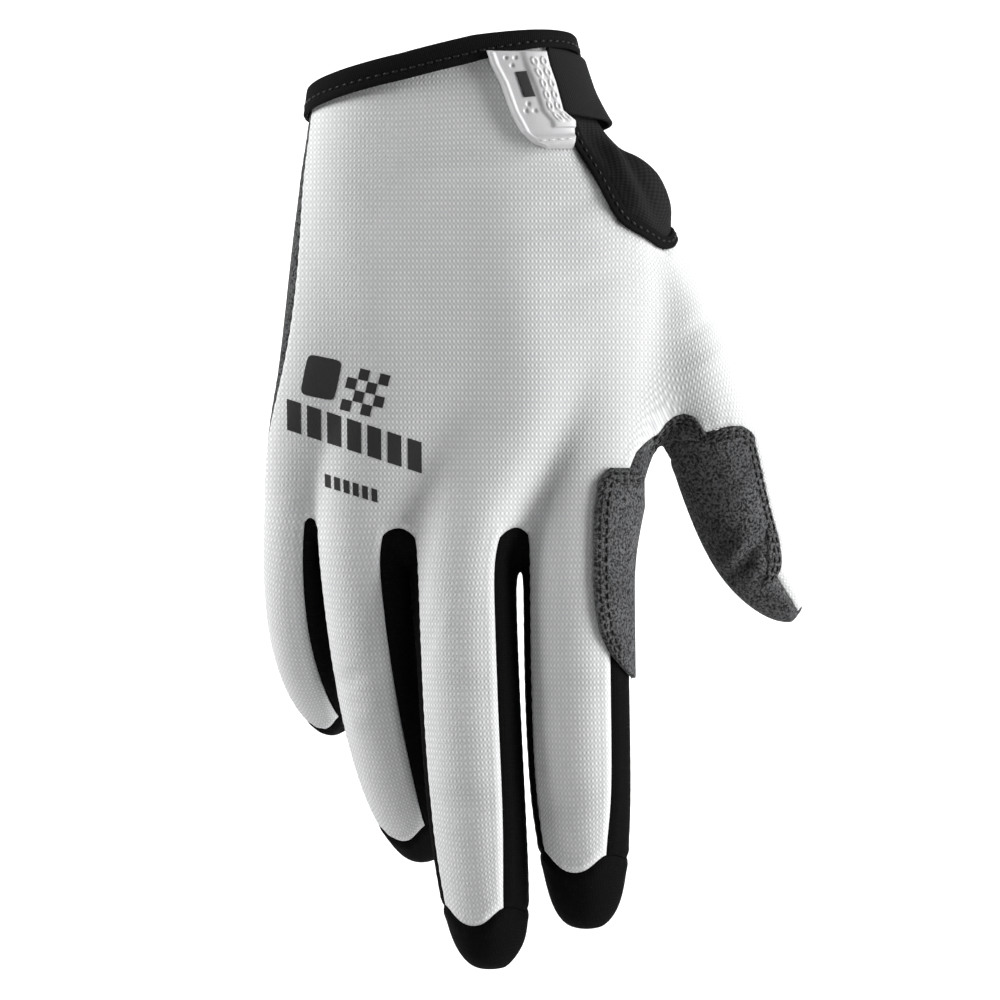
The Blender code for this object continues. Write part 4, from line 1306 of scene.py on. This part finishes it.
def turned(centre, angle, x, z):
    """Offsets turned by an angle in degrees, clockwise as seen, and moved to a centre."""
    turn = math.radians(-angle)
    return (
        centre[0] + x * math.cos(turn) - z * math.sin(turn),
        centre[1] + x * math.sin(turn) + z * math.cos(turn),
    )


def add_prints(tree, ink):
    """Plain printed marks on the back: a rounded square, a checker, and slanted stripes in two sizes."""

    def rounded_square(u, v):
        fold = 1 - 0.10 * (u * v) ** 6
        return turned(SQUARE[0:2], SQUARE[2], u * SQUARE[3] * fold, v * SQUARE[4] * fold)

    parts = [print_patch(tree, rounded_square, SQUARE_SIDE)]
    cells = CHECKER_CELLS
    for i in range(cells):
        for j in range(cells):
            if (i + j) % 2 == 0:

                def cell(u, v, i=i, j=j):
                    x = ((i + 0.5 + u * 0.49) / cells * 2 - 1) * CHECKER[3]
                    z = ((j + 0.5 + v * 0.49) / cells * 2 - 1) * CHECKER[4]
                    return turned(CHECKER[0:2], CHECKER[2], x, z)

                parts.append(print_patch(tree, cell, CELL_SIDE))
    for row in (STRIPES, DASHES):
        for k in range(row["number"]):
            start = row["x"] + k * row["pitch"]

            def stripe(u, v, start=start, row=row):
                x = start + u * row["wide"] / 2 + v * row["lean"]
                z = v * row["tall"] / 2
                return turned(row["centre"], row["turn"], x, z)

            parts.append(print_patch(tree, stripe, STRIPE_SIDE))
    add_parts("prints", parts, ink, PRINT_ANGLE)


def principled(name, colour, rough, **sockets):
    """A material with its Principled shader, and constants set on the shader's own sockets."""
    made = bpy.data.materials.new(name)
    made.use_nodes = True
    shader = made.node_tree.nodes["Principled BSDF"]
    shader.inputs["Base Color"].default_value = (*colour, 1)
    shader.inputs["Roughness"].default_value = rough
    for socket, value in sockets.items():
        shader.inputs[socket.replace("_", " ")].default_value = value
    return made, made.node_tree, shader


def node(tree, kind, **values):
    """A shader node with some of its inputs or settings given."""
    made = tree.nodes.new(kind)
    for key, value in values.items():
        if key in made.inputs:
            made.inputs[key].default_value = value
        else:
            setattr(made, key, value)
    return made


def two_colours(tree, shader, factor, dark, light):
    """Base colour between two tones, by a factor from 0 to 1."""
    mix = node(tree, "ShaderNodeMix", data_type="RGBA")
    mix.inputs["A"].default_value = (*dark, 1)
    mix.inputs["B"].default_value = (*light, 1)
    tree.links.new(factor, mix.inputs["Factor"])
    tree.links.new(mix.outputs["Result"], shader.inputs["Base Color"])


def relief(tree, shader, height, depth):
    """A bump of some depth in millimetres from a height between 0 and 1."""
    bump = node(tree, "ShaderNodeBump", Distance=depth * MM, Strength=1.0)
    tree.links.new(height, bump.inputs["Height"])
    tree.links.new(bump.outputs["Normal"], shader.inputs["Normal"])


def weave_waves(tree, across, down):
    """Cosines over the weave coordinates with a pitch across and a pitch down, in millimetres. A pitch of
    None leaves its cosine out."""
    uv = node(tree, "ShaderNodeUVMap", uv_map="weave")
    parts = node(tree, "ShaderNodeSeparateXYZ")
    tree.links.new(uv.outputs["UV"], parts.inputs[0])
    waves = []
    for axis, pitch in (("X", across), ("Y", down)):
        if not pitch:
            continue
        turn = node(tree, "ShaderNodeMath", operation="MULTIPLY")
        tree.links.new(parts.outputs[axis], turn.inputs[0])
        turn.inputs[1].default_value = 2 * math.pi / (pitch * WEAVE_SCALE)
        wave = node(tree, "ShaderNodeMath", operation="COSINE")
        tree.links.new(turn.outputs[0], wave.inputs[0])
        waves.append(wave.outputs[0])
    return waves


def combined(tree, operation, first, second, clamp=False):
    """A sum, difference or product of two sockets or numbers."""
    made = node(tree, "ShaderNodeMath", operation=operation, use_clamp=clamp)
    for socket, value in zip(made.inputs, (first, second)):
        if isinstance(value, (int, float)):
            socket.default_value = value
        else:
            tree.links.new(value, socket)
    return made.outputs[0]


def noise(tree, pitch, detail=3.0):
    """Noise over object coordinates, with features of about a pitch in millimetres."""
    where = node(tree, "ShaderNodeTexCoord")
    made = node(tree, "ShaderNodeTexNoise", Scale=1 / (pitch * MM), Detail=detail)
    tree.links.new(where.outputs["Object"], made.inputs["Vector"])
    return made.outputs["Fac"]


def grain_of(tree, pitch, amount):
    """Noise about zero, of some amount."""
    return combined(tree, "MULTIPLY", combined(tree, "SUBTRACT", noise(tree, pitch), 0.5), amount)


def scaled(tree, field, factor, shift):
    """A field times a factor, plus a shift."""
    return combined(tree, "ADD", combined(tree, "MULTIPLY", field, factor), shift)


def knit_finish():
    """White knit: raised beads in columns and rows, with a mottle and a fine grain. Its colour darkens
    between the beads, as painted shade in the knit's hollows. The beads are cos(across) times (0.26 cos(down)
    + 0.10), added to 0.08 cos(down) + 0.5."""
    made, tree, shader = principled("knit", (0.8, 0.8, 0.8), 0.85, Specular_IOR_Level=0.25)
    across, down = weave_waves(tree, KNIT_PITCH_ACROSS, KNIT_PITCH_DOWN)
    columns = combined(tree, "MULTIPLY", across, scaled(tree, down, 0.26, 0.10))
    beads_and_painted_shade = combined(tree, "ADD", columns, scaled(tree, down, 0.08, 0.5), clamp=True)
    mottle = grain_of(tree, 9.0, 0.12)
    fine = grain_of(tree, 0.5, 0.25)
    tone = combined(tree, "ADD", combined(tree, "ADD", beads_and_painted_shade, mottle), fine, clamp=True)
    # The dark tone is painted shade in the hollows between the beads; the light tone is the white yarn.
    two_colours(tree, shader, tone, (0.44, 0.45, 0.46), (0.93, 0.93, 0.93))
    relief(tree, shader, combined(tree, "ADD", beads_and_painted_shade, fine), KNIT_RELIEF)
    return made


def suede_finish():
    """Dark grey suede: a nap of fine grain with pale flecks."""
    made, tree, shader = principled("suede", (0.08, 0.08, 0.085), 0.9, Specular_IOR_Level=0.2)
    grain = noise(tree, 0.62, 2.0)
    patches = noise(tree, 14.0, 2.0)
    flecks = combined(tree, "MULTIPLY", combined(tree, "SUBTRACT", grain, 0.36), 3.8, clamp=True)
    tone = combined(tree, "MULTIPLY", flecks, combined(tree, "ADD", patches, 0.35))
    two_colours(tree, shader, tone, (0.012, 0.012, 0.013), (0.142, 0.144, 0.148))
    relief(tree, shader, grain, 0.4)
    return made


def stretch_finish(name, dark, light):
    """Black stretch cloth: a fine crosswise rib with some grain, between two tones of grey."""
    made, tree, shader = principled(name, (light, light, light), 0.85, Specular_IOR_Level=0.04)
    across, down = weave_waves(tree, 0.9, 0.7)
    weave = scaled(tree, combined(tree, "ADD", across, down), 0.25, 0.5)
    grain = noise(tree, 0.5)
    tone = combined(tree, "MULTIPLY", combined(tree, "ADD", weave, grain), 0.5)
    two_colours(tree, shader, tone, (dark, dark, dark), (light, light, light))
    relief(tree, shader, tone, 0.14)
    return made


def rib_finish(name, dark, light, pitch, depth):
    """A woven tape: ribs across the tape's length, by the weave coordinates."""
    made, tree, shader = principled(name, light, 0.85, Specular_IOR_Level=0.05)
    (ribs,) = weave_waves(tree, pitch, None)
    ribs = scaled(tree, ribs, 0.5, 0.5)
    tone = combined(tree, "MULTIPLY", combined(tree, "ADD", ribs, noise(tree, 0.4)), 0.5)
    two_colours(tree, shader, tone, dark, light)
    relief(tree, shader, ribs, depth)
    return made


def plain_finish(name, colour, rough, grain=0.4, depth=0.02, **sockets):
    """Moulded rubber, thread or ink: one tone with a faint grain."""
    made, tree, shader = principled(name, colour, rough, **sockets)
    field = noise(tree, grain)
    darker = tuple(0.86 * c for c in colour)
    two_colours(tree, shader, field, darker, colour)
    relief(tree, shader, field, depth)
    return made


def cloth_finishes(finishes):
    """The finish and thickness of each cloth of the form. Those that aren't named are black stretch cloth."""
    chosen = {
        "back_panel": ("knit", KNIT_WALL),
        "wrist_gusset": ("gusset", STRETCH_WALL),
        "palm_panel": ("suede", SUEDE_WALL),
        "thumb_leather": ("suede", SUEDE_WALL),
    }

    def finish_of(cloth):
        finish, wall = chosen.get(cloth, ("stretch", STRETCH_WALL))
        return finishes[finish], wall

    return finish_of


def add_stage():
    """A pale floor that runs back and up behind the glove, as one sheet bent on a quarter circle."""
    turns = np.linspace(0, math.pi / 2, 24)
    bent = FLOOR_LOW + FLOOR_BEND * (1 - np.cos(turns))
    back = np.concatenate([[FLOOR_NEAR], FLOOR_FAR + FLOOR_BEND * np.sin(turns), [FLOOR_FAR + FLOOR_BEND]])
    height = np.concatenate([[FLOOR_LOW], bent, [FLOOR_TOP]])
    across = np.array([-FLOOR_SIDE, FLOOR_SIDE])
    x, k = grid_of(across, np.arange(len(back)))
    points = np.stack([x, back[k], height[k]], axis=-1).reshape(-1, 3)
    grid = np.arange(points.shape[0]).reshape(2, -1)
    quads = np.stack([grid[0, :-1], grid[1, :-1], grid[1, 1:], grid[0, 1:]], axis=1)
    mesh = bpy.data.meshes.new("floor")
    mesh.from_pydata(points.tolist(), [], quads.tolist())
    mesh.materials.append(principled("paper", (0.93, 0.93, 0.93), 0.9)[0])
    mesh.shade_smooth()
    floor = placed("floor", mesh)


def add_light(name, place, aim, width, height, power):
    """An area light at a place, turned to what it lights."""
    lamp = bpy.data.lights.new(name, "AREA")
    lamp.shape = "RECTANGLE"
    lamp.size = width
    lamp.size_y = height
    lamp.energy = power
    made = placed(name, lamp)
    made.location = place
    made.rotation_euler = (Vector(aim) - Vector(place)).to_track_quat("-Z", "Y").to_euler()


def add_lights():
    """Two tall soft boxes from the sides, a weak one from above, and light on the backdrop."""
    for values in LIGHTS:
        add_light(*values)
    world = bpy.data.worlds.new("studio")
    world.use_nodes = True
    background = world.node_tree.nodes["Background"]
    background.inputs["Color"].default_value = (1, 1, 1, 1)
    background.inputs["Strength"].default_value = WORLD_STRENGTH
    bpy.context.scene.world = world


def add_camera():
    """A long lens straight at the back of the hand, framed by the photograph's scale."""
    width = PICTURE * PIXEL
    x = (PICTURE / 2 - WRIST_PIXEL[0]) * PIXEL
    z = (WRIST_PIXEL[1] - PICTURE / 2) * PIXEL
    camera = bpy.data.cameras.new("camera")
    camera.sensor_width = SENSOR
    camera.lens = SENSOR * CAMERA_AWAY / width
    camera.clip_start = 0.1
    camera.clip_end = 20
    made = placed("camera", camera)
    made.location = (x * MM, -CAMERA_AWAY * MM, z * MM)
    made.rotation_euler = (math.pi / 2, 0, 0)
    bpy.context.scene.camera = made


def main():
    """Makes the finishes, the cloths, what is laid on them, the studio and the camera."""
    finishes = {
        "knit": knit_finish(),
        "suede": suede_finish(),
        "stretch": stretch_finish("stretch", 0.002, 0.006),
        "gusset": stretch_finish("gusset", 0.006, 0.030),
        "tape": rib_finish("tape", (0.003, 0.003, 0.003), (0.013, 0.013, 0.013), 0.5, 0.05),
        "elastic": rib_finish("elastic", (0.008, 0.008, 0.008), (0.028, 0.028, 0.029), 0.5, 0.05),
        "rubber": plain_finish("rubber", (0.66, 0.66, 0.67), 0.38),
    }
    thread = plain_finish("thread", (0.005, 0.005, 0.005), 0.45, Specular_IOR_Level=0.3)
    white_thread = plain_finish("white_thread", (0.80, 0.80, 0.80), 0.6)
    ink = plain_finish("ink", (0.018, 0.018, 0.019), 0.55, 0.9, 0.05)
    points, weave, quads, cloths = fine_form()
    normals = point_normals(points, quads)
    tree = BVHTree.FromPolygons(points.tolist(), quads.tolist())
    finish_of = cloth_finishes(finishes)
    outsides = {}
    for cloth in sorted(set(cloths)):
        finish, wall = finish_of(cloth)
        outsides[cloth] = cloth_shell(cloth, (points, weave, normals, quads[cloths == cloth]), wall, finish)
    back_points, back_faces = outsides["back_panel"]
    back = BVHTree.FromPolygons(back_points.tolist(), back_faces.tolist())
    add_cuff_binding(points, quads, normals, finishes["tape"], thread)
    add_slit_binding((points, quads, normals), cloths, tree, finishes["tape"], thread)
    add_wrist_strap(tree, finishes["elastic"])
    add_closure_tab(tree, finishes["rubber"], ink, white_thread)
    add_index_patch(tree, finishes["suede"], thread)
    add_thumb_suede(tree, finishes["suede"], thread)
    add_thumb_stitches((points, weave, normals, quads[cloths == "thumb_leather"]), tree, thread)
    add_prints(back, ink)
    add_stage()
    add_lights()
    add_camera()
    bpy.context.scene.view_settings.view_transform = "Standard"


main()
